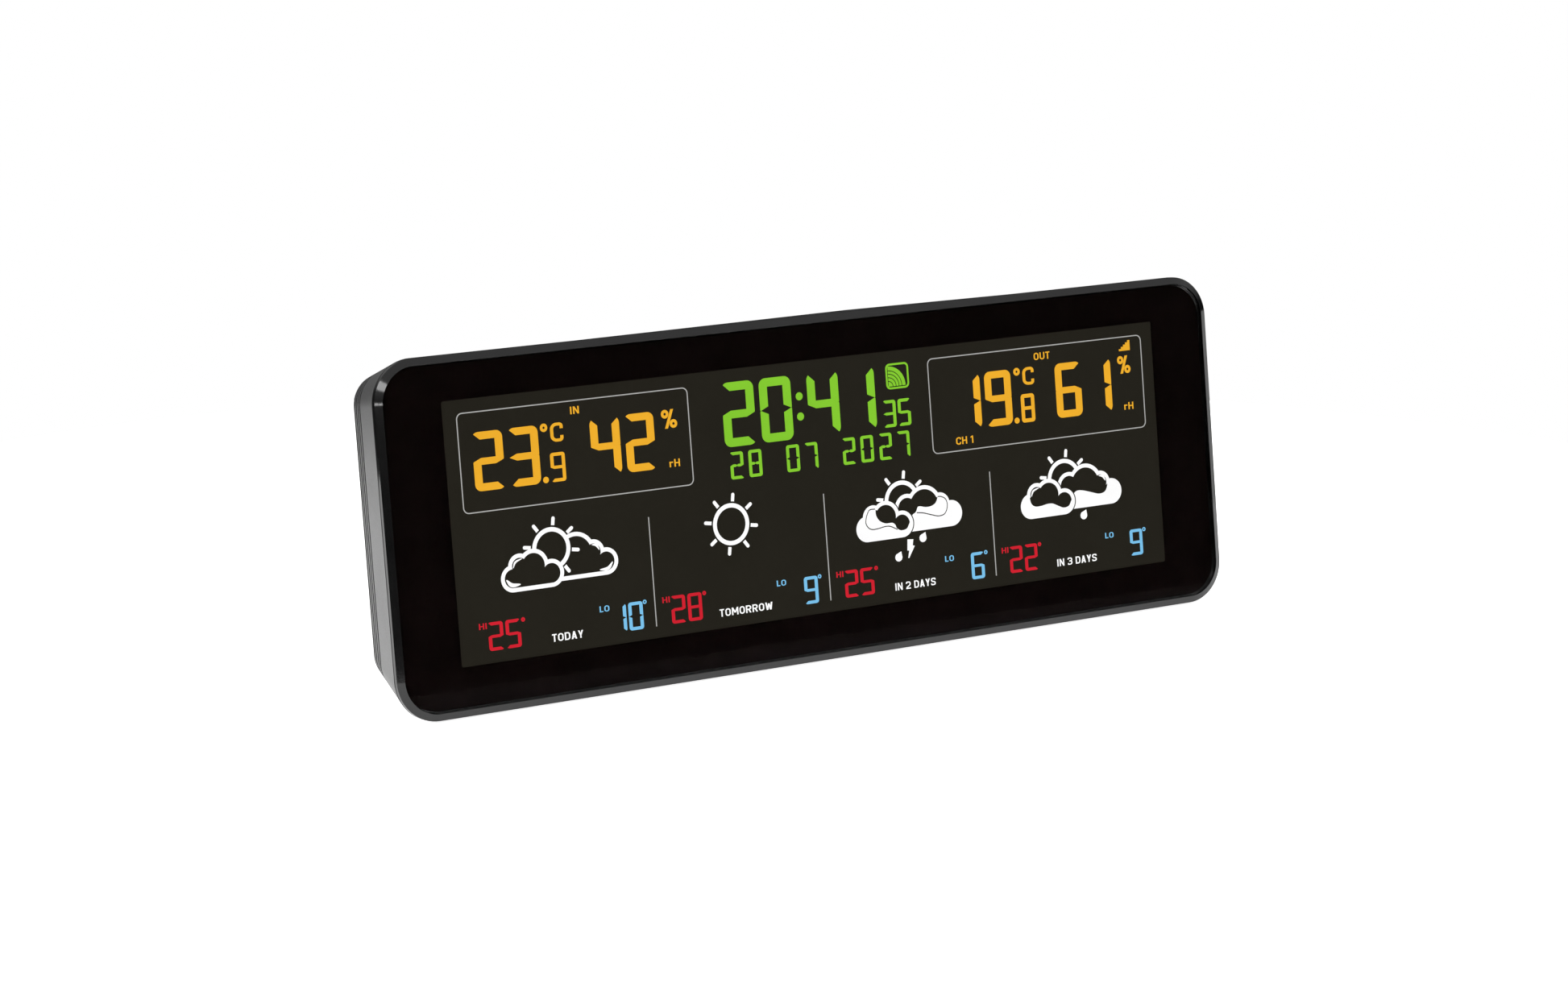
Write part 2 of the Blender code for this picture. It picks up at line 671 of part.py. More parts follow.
def snooze(model, finish, case):
    """The long top key, its slot, and the switch that it presses."""
    surface = HEIGHT / 2 - TOP_TAPER * (SNOOZE_Y - CASE_Y) / (DEPTH - CASE_Y)
    axis = model.empty("snooze_axis", (0, SNOOZE_Y, surface), model.device, -TOP_SLOPE)
    half = SNOOZE_LENGTH / 2
    deep = SNOOZE_DEPTH / 2
    slot = block(-half - GAP, half + GAP, -deep - GAP, deep + GAP, -WALL - CUT, CUT, 1.5 * MM, axis=2)
    model.cut("snooze_slot", slot, case, parent=axis)
    shape = bmesh.new()
    bmesh.ops.create_cube(shape, size=1)
    along = [e for e in shape.edges if abs((e.verts[0].co - e.verts[1].co).x) > 0.5]
    bmesh.ops.subdivide_edges(shape, edges=along, cuts=19, use_grid_fill=True)
    for vert in shape.verts:
        share = 2 * vert.co.x
        top = SNOOZE_PROUD - SNOOZE_CROWN * share**2
        bottom = -WALL - GAP - SNOOZE_FLANGE_THICKNESS / 2
        vert.co = (vert.co.x * SNOOZE_LENGTH, vert.co.y * SNOOZE_DEPTH, top if vert.co.z > 0 else bottom)
    corners = [e for e in shape.edges if abs(e.verts[0].co.z - e.verts[1].co.z) > CUT]
    corners = [e for e in corners if abs(abs(e.verts[0].co.x) - half) < MM / 10]
    bmesh.ops.bevel(shape, geom=corners, offset=1.2 * MM, segments=4, profile=0.5, affect="EDGES")
    key = model.piece("snooze_key", fresh_mesh("snooze_key", shape), finish["key"], parent=axis)
    flange = block(
        -half - SNOOZE_FLANGE, half + SNOOZE_FLANGE, -deep - SNOOZE_FLANGE, deep + SNOOZE_FLANGE,
        -WALL - GAP - SNOOZE_FLANGE_THICKNESS, -WALL - GAP,
    )
    model.add("snooze_flange", flange, key, parent=axis)
    switch_y = PARTS_Y + SWITCH_HEIGHT / 2
    switch_top = BOARD_TOP + PLUNGER_HEIGHT
    finger_bottom = switch_top + SNOOZE_TRAVEL + FILM_GAP
    finger_front = TRAY_FLOOR_Y + TRAY_FLOOR + GAP
    finger = block(
        -SNOOZE_FINGER / 2, SNOOZE_FINGER / 2, finger_front, switch_y + CUT,
        finger_bottom, finger_bottom + 2.6 * MM,
    )
    model.add("snooze_finger", finger, key)
    root_top = surface - WALL - GAP - SNOOZE_FLANGE_THICKNESS * 0.7
    root = block(
        -SNOOZE_FINGER / 2, SNOOZE_FINGER / 2, finger_front, SNOOZE_Y + SNOOZE_DEPTH / 2,
        finger_bottom, root_top,
    )
    model.add("snooze_finger_root", root, key)
    shape = bmesh.new()
    bmesh.ops.create_cube(shape, size=1)
    bmesh.ops.scale(shape, vec=(SWITCH_SIZE, SWITCH_HEIGHT, SWITCH_SIZE / 2), verts=shape.verts)
    top = [f for f in shape.faces if f.normal.z > 0.5]
    bmesh.ops.inset_region(shape, faces=top, thickness=0.6 * MM)
    raised = bmesh.ops.extrude_face_region(shape, geom=top)["geom"]
    bmesh.ops.delete(shape, geom=top, context="FACES")
    moved = [item for item in raised if isinstance(item, bmesh.types.BMVert)]
    bmesh.ops.translate(shape, vec=(0, 0, PLUNGER_HEIGHT), verts=moved)
    model.piece(
        "snooze_switch", fresh_mesh("snooze_switch", shape), finish["chip"],
        (0, switch_y, BOARD_TOP - SWITCH_SIZE / 4),
    )


def switch_mesh():
    """A tactile switch with its plunger towards the back."""
    shape = bmesh.new()
    bmesh.ops.create_cube(shape, size=1)
    bmesh.ops.scale(shape, vec=(SWITCH_SIZE, SWITCH_HEIGHT, SWITCH_SIZE), verts=shape.verts)
    back = [f for f in shape.faces if f.normal.y > 0.5]
    bmesh.ops.inset_region(shape, faces=back, thickness=(SWITCH_SIZE - PLUNGER_SIZE) / 2)
    raised = bmesh.ops.extrude_face_region(shape, geom=back)["geom"]
    bmesh.ops.delete(shape, geom=back, context="FACES")
    moved = [item for item in raised if isinstance(item, bmesh.types.BMVert)]
    bmesh.ops.translate(shape, vec=(0, PLUNGER_HEIGHT, 0), verts=moved)
    return fresh_mesh("switch", shape)


def key_mesh():
    """A key cap, wider inside the case than its hole, with a rounded face outside."""
    half_x = KEY_WIDTH / 2
    half_z = KEY_HEIGHT / 2
    front = SWITCH_TOP + KEY_TRAVEL + FILM_GAP - INNER_BACK
    rings = []
    sections = (
        (front, -KEY_FLANGE),
        (-GAP, -KEY_FLANGE),
        (-GAP, 0),
        (WALL + KEY_PROUD - 0.4 * MM, 0),
        (WALL + KEY_PROUD, 0.4 * MM),
    )
    for y, inset in sections:
        points = outline(half_x - inset, half_z - inset, -half_z + inset, 1.6 * MM - inset / 2)
        rings.append([(x, y, z) for x, z in points])
    mesh = loft(rings)
    smooth(mesh)
    return mesh


def rear_keys(model, finish):
    cap = key_mesh()
    switch = switch_mesh()
    for index, name in enumerate(KEY_NAMES):
        x = KEY_COLUMNS[index % len(KEY_COLUMNS)]
        z = KEY_ROWS[index // len(KEY_COLUMNS)]
        model.piece(f"key_{name}", cap, finish["key"], (x, INNER_BACK, z))
        model.piece(f"switch_{name}", switch, finish["chip"], (x, PARTS_Y + SWITCH_HEIGHT / 2, z))


def electronics(model, finish):
    """The main board and the parts on its back, kept clear of the cup, the recess and the keyholes."""
    board = model.piece(
        "main_board",
        block(-BOARD_WIDTH / 2, BOARD_WIDTH / 2, BOARD_Y, BOARD_BACK, BOARD_BOTTOM, BOARD_TOP, 2 * MM),
        finish["board"],
    )
    for side in (-1, 1):
        for level in (-1, 1):
            tag = f"{'left' if side < 0 else 'right'}_{'lower' if level < 0 else 'upper'}"
            place = (side * BOARD_SCREW_X, 0, level * BOARD_SCREW_Z)
            model.cut(
                f"board_hole_{tag}",
                rod(BOARD_SCREW_R + GAP, BOARD_Y - CUT, BOARD_BACK + CUT, 16), board, place,
            )
            model.piece(
                f"board_screw_{tag}",
                turned(
                    (
                        (BOARD_HEAD_R - GAP, TRAY_FLOOR_Y + TRAY_FLOOR + FILM_GAP / 2),
                        (BOARD_HEAD_R - GAP, BOARD_Y - FILM_GAP / 2),
                        (BOARD_SCREW_R, BOARD_Y - FILM_GAP / 2),
                        (BOARD_SCREW_R, INNER_BACK - CUT - GAP),
                    )
                ),
                finish["steel"],
                place,
            )
    flat = (
        ("processor_chip", -12 * MM, -8 * MM, 10 * MM, 10 * MM, 1.2 * MM, "chip"),
        ("memory_chip", 8 * MM, -10 * MM, 5 * MM, 6 * MM, 1.2 * MM, "chip"),
        ("clock_crystal", -24 * MM, -12 * MM, 3 * MM, 8 * MM, 1.4 * MM, "steel"),
        ("wifi_board", -28 * MM, 18 * MM, 24 * MM, 14 * MM, 0.8 * MM, "board"),
        ("radio_board", 28 * MM, 17 * MM, 18 * MM, 12 * MM, 1 * MM, "board"),
    )
    for name, x, z, width, height, thickness, look in flat:
        model.piece(
            name,
            block(
                -width / 2, width / 2, PARTS_Y, PARTS_Y + thickness, -height / 2, height / 2
            ),
            finish[look],
            (x, 0, z),
        )
    can_y = PARTS_Y + 0.8 * MM + GAP
    model.piece(
        "wifi_shield",
        block(-8 * MM, 8 * MM, can_y, can_y + 2 * MM, -6 * MM, 6 * MM, 1 * MM),
        finish["steel"],
        (-31 * MM, 0, 18 * MM),
    )
    model.piece("buzzer", rod(4.5 * MM, PARTS_Y, PARTS_Y + 4 * MM), finish["chip"], (8 * MM, 0, 19 * MM))
    antenna(model, finish)
    sensor_back = INNER_BACK - SENSOR_PEG_LENGTH - GAP
    half_x = SENSOR_BOARD_WIDTH / 2
    half_z = SENSOR_BOARD_HEIGHT / 2
    model.piece(
        "sensor_board",
        block(-half_x, half_x, sensor_back - MM, sensor_back, -half_z, half_z),
        finish["board"],
        (VENT_X, 0, 0),
    )
    chip = block(-1.5 * MM, 1.5 * MM, sensor_back + GAP, sensor_back + GAP + MM, -1.5 * MM, 1.5 * MM)
    model.piece("room_sensor", chip, finish["chip"], (VENT_X, 0, 0))
    jack = model.piece("power_jack", rod(JACK_R, PARTS_Y, DEPTH - GAP), finish["chip"], (JACK_X, 0, JACK_Z))
    bore = turned(
        (
            (JACK_PIN_R, DEPTH - 2 * MM),
            (JACK_PIN_R, PARTS_Y + MM),
            (JACK_BORE_R, PARTS_Y + MM),
            (JACK_BORE_R, DEPTH + CUT),
            (0, DEPTH + CUT),
        ),
        first_r=0,
        first_y=DEPTH - 2 * MM,
    )
    model.cut("jack_bore", bore, jack, (JACK_X, 0, JACK_Z))


def turned(profile, first_r=0.0, first_y=None, steps=16):
    """A solid turned about Y from radius and depth pairs, starting and ending on the axis."""
    start = profile[0][1] if first_y is None else first_y
    points = [(first_r, start), *profile]
    if points[-1][0] > 0:
        points.append((0.0, profile[-1][1]))
    shape = bmesh.new()
    turn = 2 * math.pi / steps
    rows = []
    for radius, y in points:
        if radius < MM / 1000:
            rows.append([shape.verts.new((0, y, 0))])
            continue
        rows.append(
            [
                shape.verts.new((radius * math.cos(turn * s), y, radius * math.sin(turn * s)))
                for s in range(steps)
            ]
        )
    for near, far in zip(rows, rows[1:]):
        for index in range(steps):
            after = (index + 1) % steps
            corners = [
                near[index % len(near)], far[index % len(far)],
                far[after % len(far)], near[after % len(near)],
            ]
            shape.faces.new(list(dict.fromkeys(corners)))
    mesh = fresh_mesh("turned", shape)
    smooth(mesh)
    return mesh


def antenna(model, finish):
    """The receiver's wire aerial, from its board up to the case top and down one side."""
    y = PARTS_Y + MM + 2 * GAP
    top = 29 * MM
    side = 88 * MM
    route = (
        (34 * MM, y, 19 * MM),
        (38 * MM, y, 25 * MM),
        (42 * MM, y, top),
        (side - 6 * MM, y, top),
        (side - 1.5 * MM, y, top - 2 * MM),
        (side, y, top - 6 * MM),
        (side, y, -16 * MM),
    )
    curve = bpy.data.curves.new("radio_antenna", "CURVE")
    curve.dimensions = "3D"
    spline = curve.splines.new("POLY")
    spline.points.add(len(route) - 1)
    for point, place in zip(spline.points, route):
        point.co = (*place, 1)
    curve.bevel_depth = 0.4 * MM
    curve.bevel_resolution = 2
    curve.use_fill_caps = True
    curve.materials.append(finish["steel"])
    wire = bpy.data.objects.new("radio_antenna", curve)
    model.parts.objects.link(wire)
    wire.parent = model.device


def cell(model, finish):
    """The backup cell, its two contacts and its turning door."""
    place = (CELL_X, 0, CELL_Z)
    front_y = cell_front()
    edge = 0.3 * MM
    model.piece(
        "coin_cell",
        turned(
            (
                (CELL_R - 2 * edge, front_y),
                (CELL_R, front_y + 2 * edge),
                (CELL_R, front_y + CELL_THICKNESS - edge),
                (CELL_R - edge, front_y + CELL_THICKNESS),
            ),
            steps=48,
        ),
        finish["steel"],
        place,
    )
    minus_y = cup_front() + CUP_FLOOR + FILM_GAP
    model.piece(
        "cell_contact_minus",
        block(-6 * MM, 6 * MM, minus_y, minus_y + CONTACT_THICKNESS, -CONTACT_WIDTH / 2, CONTACT_WIDTH / 2),
        finish["brass"],
        place,
    )
    model.piece(
        "cell_contact_plus",
        block(
            -CONTACT_WIDTH / 2, CONTACT_WIDTH / 2, front_y, front_y + CELL_THICKNESS - GAP,
            CELL_R + GAP, CELL_R + GAP + CONTACT_THICKNESS,
        ),
        finish["brass"],
        place,
    )
    shelf = front_y + CELL_THICKNESS
    door = model.piece("battery_door", rod(DOOR_R, INNER_BACK - GAP, DEPTH - GAP, 48), finish["grey"], place)
    lug_back = INNER_BACK - GAP
    lug_front = shelf + GAP
    model.add("door_plug", rod(DOOR_R - MM, lug_front, lug_back + GAP, 48), door, place)
    model.add("door_lugs", lug_block(0, lug_front, lug_back, 0), door, place)
    slot = block(-5 * MM, 5 * MM, DEPTH - GAP - MM, DEPTH + CUT, -0.9 * MM, 0.9 * MM, 0.7 * MM)
    model.cut("door_coin_slot", slot, door, place)


def case_screws(model, finish):
    head = DEPTH - SCREW_SINK + GAP
    tip = LIP_BACK + WALL + GAP
    profile = (
        (SCREW_R / 2, tip),
        (SCREW_R, tip + MM),
        (SCREW_R, head),
        (SCREW_HEAD_R, head),
        (SCREW_HEAD_R, head + SCREW_HEAD_LENGTH - GAP),
        (SCREW_HEAD_R - GAP, head + SCREW_HEAD_LENGTH),
    )
    mesh = turned(profile)
    for side in (-1, 1):
        for level in (-1, 1):
            tag = f"{'left' if side < 0 else 'right'}_{'lower' if level < 0 else 'upper'}"
            place = (side * SCREW_X, 0, level * SCREW_Z)
            screw = model.piece(f"case_screw_{tag}", mesh, finish["steel"], place)
            cross = block(
                -1.1 * MM, 1.1 * MM, head + SCREW_HEAD_LENGTH - MM, head + SCREW_HEAD_LENGTH + CUT,
                -GAP, GAP,
            )
            model.cut(f"screw_slot_{tag}", cross, screw, place)


def foot_dip():
    """How far the open foot points below the standing surface's level, so that its pads reach the surface."""
    hinge_height = -HINGE_Y * math.sin(LEAN) + HINGE_Z * math.cos(LEAN)
    above = hinge_height - ground_z(0) * math.cos(LEAN)
    half = FOOT_THICKNESS / 2
    angle = 0.0
    for _ in range(20):
        angle = math.asin((above - PAD_THICKNESS - half * math.cos(angle)) / FOOT_LENGTH)
    return angle


def foot(model, finish):
    """The fold-out foot on its pin, opened to the standing surface, with its two pads."""
    dip = foot_dip()
    axis = model.empty("foot_axis", (0, HINGE_Y, HINGE_Z), model.device, LEAN - dip)
    half = FOOT_WIDTH / 2
    thick = FOOT_THICKNESS / 2
    plate = block(-half, half, 0, FOOT_LENGTH, -thick, thick, 4 * MM, axis=2)
    stand = model.piece("stand_foot", plate, finish["grey"], parent=axis)
    model.add("foot_barrel", axle(FOOT_BARREL_R, half), stand, parent=axis)
    square = block(-half, half, FOOT_BARREL_R / 2, 6 * MM, -thick, thick)
    model.add("foot_root", square, stand, parent=axis)
    model.cut("foot_bore", axle(FOOT_PIN_R + GAP, half + CUT, 16), stand, parent=axis)
    model.piece("foot_pin", axle(FOOT_PIN_R, half + FOOT_PIN_END, 16), finish["steel"], (0, HINGE_Y, HINGE_Z))
    y0 = FOOT_LENGTH - 1.5 * PAD_LENGTH
    y1 = y0 + PAD_LENGTH
    hinge_height = -HINGE_Y * math.sin(LEAN) + HINGE_Z * math.cos(LEAN) - ground_z(0) * math.cos(LEAN)

    def floor(y):
        """The standing surface under a point of the foot, in the foot's frame."""
        return (-hinge_height + y * math.sin(dip)) / math.cos(dip)

    for side in (-1, 1):
        name = "left" if side < 0 else "right"
        pad = wedge(PAD_WIDTH, y0, y1, -thick - FILM_GAP, -thick - FILM_GAP, floor(y0), floor(y1))
        model.piece(f"foot_pad_{name}", pad, finish["rubber"], (side * (half - PAD_WIDTH), 0, 0), parent=axis)


def front_feet(model, finish):
    y0 = FRONT_FOOT_FRONT
    y1 = FRONT_FOOT_BACK
    pad = wedge(
        FRONT_FOOT_WIDTH, y0, y1, case_bottom(y0) - FILM_GAP, case_bottom(y1) - FILM_GAP,
        ground_z(y0), ground_z(y1),
    )
    for side in (-1, 1):
        name = "left" if side < 0 else "right"
        model.piece(f"front_foot_{name}", pad, finish["rubber"], (side * FRONT_FOOT_X, 0, 0))


def place_device(model):
    """Moves the device so that the middle of its base is the origin."""
    bpy.context.view_layer.update()
    graph = bpy.context.evaluated_depsgraph_get()
    low = Vector((math.inf,) * 3)
    high = Vector((-math.inf,) * 3)
    for item in model.parts.objects:
        if item.type != "MESH":
            continue
        solid = item.evaluated_get(graph)
        for vert in solid.data.vertices:
            point = solid.matrix_world @ vert.co
            low = Vector(map(min, low, point))
            high = Vector(map(max, high, point))
    model.device.location = (-(low.x + high.x) / 2, -(low.y + high.y) / 2, -low.z)
    bpy.context.view_layer.update()


def main():
    clear_scene()
    finish = materials()
    model = Model()
    front(model, finish)
    display(model, finish)
    case = rear_case(model, finish)
    snooze(model, finish, case)
    electronics(model, finish)
    cell(model, finish)
    rear_keys(model, finish)
    case_screws(model, finish)
    foot(model, finish)
    front_feet(model, finish)
    place_device(model)


main()
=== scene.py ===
"""Looks of a home weather station with a colour display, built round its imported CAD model."""

import json
import math

import bmesh
import bpy
from mathutils import Matrix, Vector
from mathutils.geometry import delaunay_2d_cdt

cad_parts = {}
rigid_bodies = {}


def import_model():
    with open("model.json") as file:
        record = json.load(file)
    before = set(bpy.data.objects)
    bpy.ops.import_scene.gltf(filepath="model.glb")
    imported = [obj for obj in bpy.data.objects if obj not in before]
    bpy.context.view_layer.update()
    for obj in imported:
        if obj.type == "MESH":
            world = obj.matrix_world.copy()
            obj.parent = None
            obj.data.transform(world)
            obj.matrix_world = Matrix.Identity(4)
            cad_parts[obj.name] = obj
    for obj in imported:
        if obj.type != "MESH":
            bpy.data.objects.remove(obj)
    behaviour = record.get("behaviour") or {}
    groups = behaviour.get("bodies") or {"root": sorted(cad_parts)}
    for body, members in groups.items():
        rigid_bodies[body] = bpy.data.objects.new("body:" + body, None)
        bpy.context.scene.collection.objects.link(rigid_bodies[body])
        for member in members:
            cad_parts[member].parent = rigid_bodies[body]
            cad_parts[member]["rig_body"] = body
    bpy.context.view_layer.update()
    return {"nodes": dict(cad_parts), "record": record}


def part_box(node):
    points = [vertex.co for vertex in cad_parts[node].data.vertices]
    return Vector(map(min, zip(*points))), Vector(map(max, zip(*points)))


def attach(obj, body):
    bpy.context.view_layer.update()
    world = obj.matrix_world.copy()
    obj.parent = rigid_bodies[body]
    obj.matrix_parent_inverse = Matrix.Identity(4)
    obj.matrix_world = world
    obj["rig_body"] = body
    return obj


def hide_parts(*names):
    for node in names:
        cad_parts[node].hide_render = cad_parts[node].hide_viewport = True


MM = 0.001
LEAN = math.radians(7.7)
WINDOW_THICKNESS = 1.2 * MM

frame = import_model()
nodes = frame["nodes"]


def device_place():
    """Where the front of the window is: X right, Y back, Z up the face, and the origin in its middle."""
    low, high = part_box("front_window")
    y = (low.y + high.y - WINDOW_THICKNESS * math.cos(LEAN)) / 2
    z = (low.z + high.z + WINDOW_THICKNESS * math.sin(LEAN)) / 2
    return Matrix.Translation((0, y, z)) @ Matrix.Rotation(-LEAN, 4, "X")


DEVICE = device_place()

# ---------------------------------------------------------------- materials


def grey(value):
    return (value, value, value, 1)


def tint(red, green, blue):
    """A colour given as it shows on a screen, from 0 to 255."""
    return (*[((c / 255 + 0.055) / 1.055) ** 2.4 for c in (red, green, blue)], 1)


def shader(name):
    material = bpy.data.materials.new(name)
    material.use_nodes = True
    tree = material.node_tree
    return material, tree, tree.nodes["Principled BSDF"]


BROAD_DETAIL, FINE_DETAIL = 3.0, 2.0
NOISE_ROUGHNESS = 0.55
RAMP_START, RAMP_END = 0.35, 0.65
SPREAD_START, SPREAD_END = 0.3, 0.7
GRAIN_HEIGHT = 0.05 * MM
LOW_REFLECTION = 1.03


def pattern(tree, scale, detail=BROAD_DETAIL, stretch=(1, 1, 1)):
    """Noise in the object's own metres. Scale counts features per metre."""
    place = tree.nodes.new("ShaderNodeTexCoord")
    mapping = tree.nodes.new("ShaderNodeMapping")
    mapping.inputs["Scale"].default_value = stretch
    noise = tree.nodes.new("ShaderNodeTexNoise")
    noise.inputs["Scale"].default_value = scale
    noise.inputs["Detail"].default_value = detail
    noise.inputs["Roughness"].default_value = NOISE_ROUGHNESS
    tree.links.new(place.outputs["Object"], mapping.inputs["Vector"])
    tree.links.new(mapping.outputs["Vector"], noise.inputs["Vector"])
    return noise.outputs["Fac"]


def ramp(tree, factor, low, high):
    node = tree.nodes.new("ShaderNodeValToRGB")
    node.color_ramp.elements[0].position = RAMP_START
    node.color_ramp.elements[0].color = low
    node.color_ramp.elements[1].position = RAMP_END
    node.color_ramp.elements[1].color = high
    tree.links.new(factor, node.inputs["Fac"])
    return node.outputs["Color"]


def spread(tree, factor, low, high):
    node = tree.nodes.new("ShaderNodeMapRange")
    node.inputs["From Min"].default_value = SPREAD_START
    node.inputs["From Max"].default_value = SPREAD_END
    node.inputs["To Min"].default_value = low
    node.inputs["To Max"].default_value = high
    tree.links.new(factor, node.inputs["Value"])
    return node.outputs["Result"]


def surface(
    name, low, high, rough, patch=120, grain=4000, depth=0.0, metal=0.0, ior=1.5, stretch=(1, 1, 1),
):
    """A solid finish: colour drifting from low to high, roughness range rough, and a fine grain."""
    material, tree, principled = shader(name)
    drift = pattern(tree, patch)
    fine = pattern(tree, grain, FINE_DETAIL, stretch)
    tree.links.new(ramp(tree, drift, low, high), principled.inputs["Base Color"])
    tree.links.new(spread(tree, fine, *rough), principled.inputs["Roughness"])
    principled.inputs["Metallic"].default_value = metal
    principled.inputs["IOR"].default_value = ior
    if depth:
        bump = tree.nodes.new("ShaderNodeBump")
        bump.inputs["Strength"].default_value = depth
        bump.inputs["Distance"].default_value = GRAIN_HEIGHT
        tree.links.new(fine, bump.inputs["Height"])
        tree.links.new(bump.outputs["Normal"], principled.inputs["Normal"])
    return material


def glow(name, colour):
    """A lit part of the display."""
    material, tree, principled = shader(name)
    drift = pattern(tree, 90)
    dim = tuple(c * 0.94 for c in colour[:3]) + (1,)
    principled.inputs["Base Color"].default_value = tuple(c * 0.05 for c in colour[:3]) + (1,)
    tree.links.new(ramp(tree, drift, dim, colour), principled.inputs["Emission Color"])
    tree.links.new(spread(tree, drift, 0.5, 0.6), principled.inputs["Roughness"])
    principled.inputs["Emission Strength"].default_value = 1.0
    principled.inputs["IOR"].default_value = LOW_REFLECTION
    return material


def clear(name, colour, ior, rough=(0.0, 0.004)):
    """A clear moulding, with a faint haze."""
    material, tree, principled = shader(name)
    principled.inputs["Transmission Weight"].default_value = 1.0
    principled.inputs["IOR"].default_value = ior
    principled.inputs["Base Color"].default_value = colour
    tree.links.new(spread(tree, pattern(tree, 60), *rough), principled.inputs["Roughness"])
    return material


FINISH = {
    "black_gloss": surface("moulded_gloss_black", grey(0.0045), grey(0.0065), (0.06, 0.1), 150, 2600, 0.03),
    "grey_case": surface("satin_anthracite", grey(0.062), grey(0.076), (0.36, 0.46), 90, 5200, 0.35),
    "key_plastic": surface("key_black", grey(0.02), grey(0.027), (0.3, 0.4), 160, 4200, 0.2),
    "black_ink": surface(
        "printed_black", (0.0026, 0.0014, 0.0014, 1), (0.0044, 0.0024, 0.0024, 1), (0.45, 0.6), 200, 3000,
        ior=LOW_REFLECTION,
    ),
    "display_glass": glow("display_off", tint(36, 34, 28)),
    "clear_window": clear("window_acrylic", (1, 1, 1, 1), 1.06),
    "clear_acrylic": clear("guide_acrylic", (0.96, 0.98, 0.97, 1), 1.49, (0.02, 0.1)),
    "colour_film": surface("colour_film", (0.4, 0.26, 0.05, 1), (0.2, 0.42, 0.08, 1), (0.3, 0.4), 40),
    "white_plastic": surface("white_moulding", grey(0.72), grey(0.8), (0.35, 0.45), 80, 3000, 0.1),
    "circuit_board": surface(
        "solder_mask", (0.006, 0.07, 0.022, 1), (0.01, 0.11, 0.035, 1), (0.25, 0.4), 300, 2500, 0.2,
    ),
    "chip_resin": surface("chip_resin", grey(0.018), grey(0.03), (0.45, 0.6), 500, 6000, 0.4),
    "steel": surface(
        "brushed_steel", grey(0.5), grey(0.62), (0.2, 0.34), 200, 3000, 0.2, 1.0, stretch=(1, 1, 8),
    ),
    "plated_contact": surface(
        "plated_spring", (0.66, 0.6, 0.46, 1), (0.78, 0.72, 0.58, 1), (0.2, 0.3), 200, 3000, 0.1, 1.0,
    ),
    "black_rubber": surface("soft_rubber", grey(0.018), grey(0.028), (0.65, 0.8), 200, 3500, 0.5),
    "led_resin": surface("led_resin", (0.75, 0.7, 0.45, 1), (0.85, 0.8, 0.6, 1), (0.3, 0.4), 600),
}

# ---------------------------------------------------------------- CAD copies with worked edges


def link(obj):
    bpy.context.scene.collection.objects.link(obj)
    return obj


SAME_POINT = 1e-7
FLAT_ANGLE = math.radians(0.6)
EASED_ANGLE = math.radians(30)
EASED_STEPS = 2


def refined(node, slot, edge):
    """A copy of a CAD node whose corners are eased by the given width, standing for that node."""
    mesh = nodes[node].data.copy()
    work = bmesh.new()
    work.from_mesh(mesh)
    bmesh.ops.remove_doubles(work, verts=work.verts, dist=SAME_POINT)
    bmesh.ops.dissolve_limit(work, angle_limit=FLAT_ANGLE, verts=work.verts, edges=work.edges)
    for face in work.faces:
        face.smooth = True
    work.to_mesh(mesh)
    work.free()
    for name in [a.name for a in mesh.attributes if a.name == "custom_normal"]:
        mesh.attributes.remove(mesh.attributes[name])
    mesh.materials.clear()
    mesh.materials.append(FINISH[slot])
    piece = link(bpy.data.objects.new(node + "_finished", mesh))
    bevel = piece.modifiers.new("eased_edges", "BEVEL")
    bevel.width = edge
    bevel.segments = EASED_STEPS
    bevel.limit_method = "ANGLE"
    bevel.angle_limit = EASED_ANGLE
    bevel.harden_normals = True
    bevel.use_clamp_overlap = True
    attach(piece, nodes[node]["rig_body"])
    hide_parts(node)
    return piece


record_slots = {part["node"]: part["material_slot"] for part in frame["record"]["subparts"]}

# How far each piece's edges are eased, in mm.
EASED = {
    "bezel_frame": 0.1,
    "front_window": 0.08,
    "rear_case": 0.06,
    "snooze_key": 0.3,
    "battery_door": 0.15,
    "stand_foot": 0.3,
    "foot_pad_left": 0.2,
    "foot_pad_right": 0.2,
    "front_foot_left": 0.2,
    "front_foot_right": 0.2,
    "power_jack": 0.15,
}
for key in ("alarm", "channel", "memory", "up", "down", "radio"):
    EASED["key_" + key] = 0.3

for node, edge in EASED.items():
    refined(node, record_slots[node], edge * MM)

for node, obj in nodes.items():
    if node not in EASED:
        obj.data.materials.clear()
        obj.data.materials.append(FINISH[record_slots[node]])

# ---------------------------------------------------------------- flat shapes on the display face


class Area:
    """A part of the face: the outlines that bound it, and a test of whether a point is in it."""

    def __init__(self, loops, holds):
        self.loops = loops
        self.holds = holds

    def __or__(self, other):
        return Area(self.loops + other.loops, lambda p: self.holds(p) or other.holds(p))

    def __sub__(self, other):
        return Area(self.loops + other.loops, lambda p: self.holds(p) and not other.holds(p))


def in_loop(point, loop):
    inside = False
    x, z = point
    for (x0, z0), (x1, z1) in zip(loop, loop[1:] + loop[:1]):
        if (z0 > z) != (z1 > z) and x < x0 + (z - z0) * (x1 - x0) / (z1 - z0):
            inside = not inside
    return inside


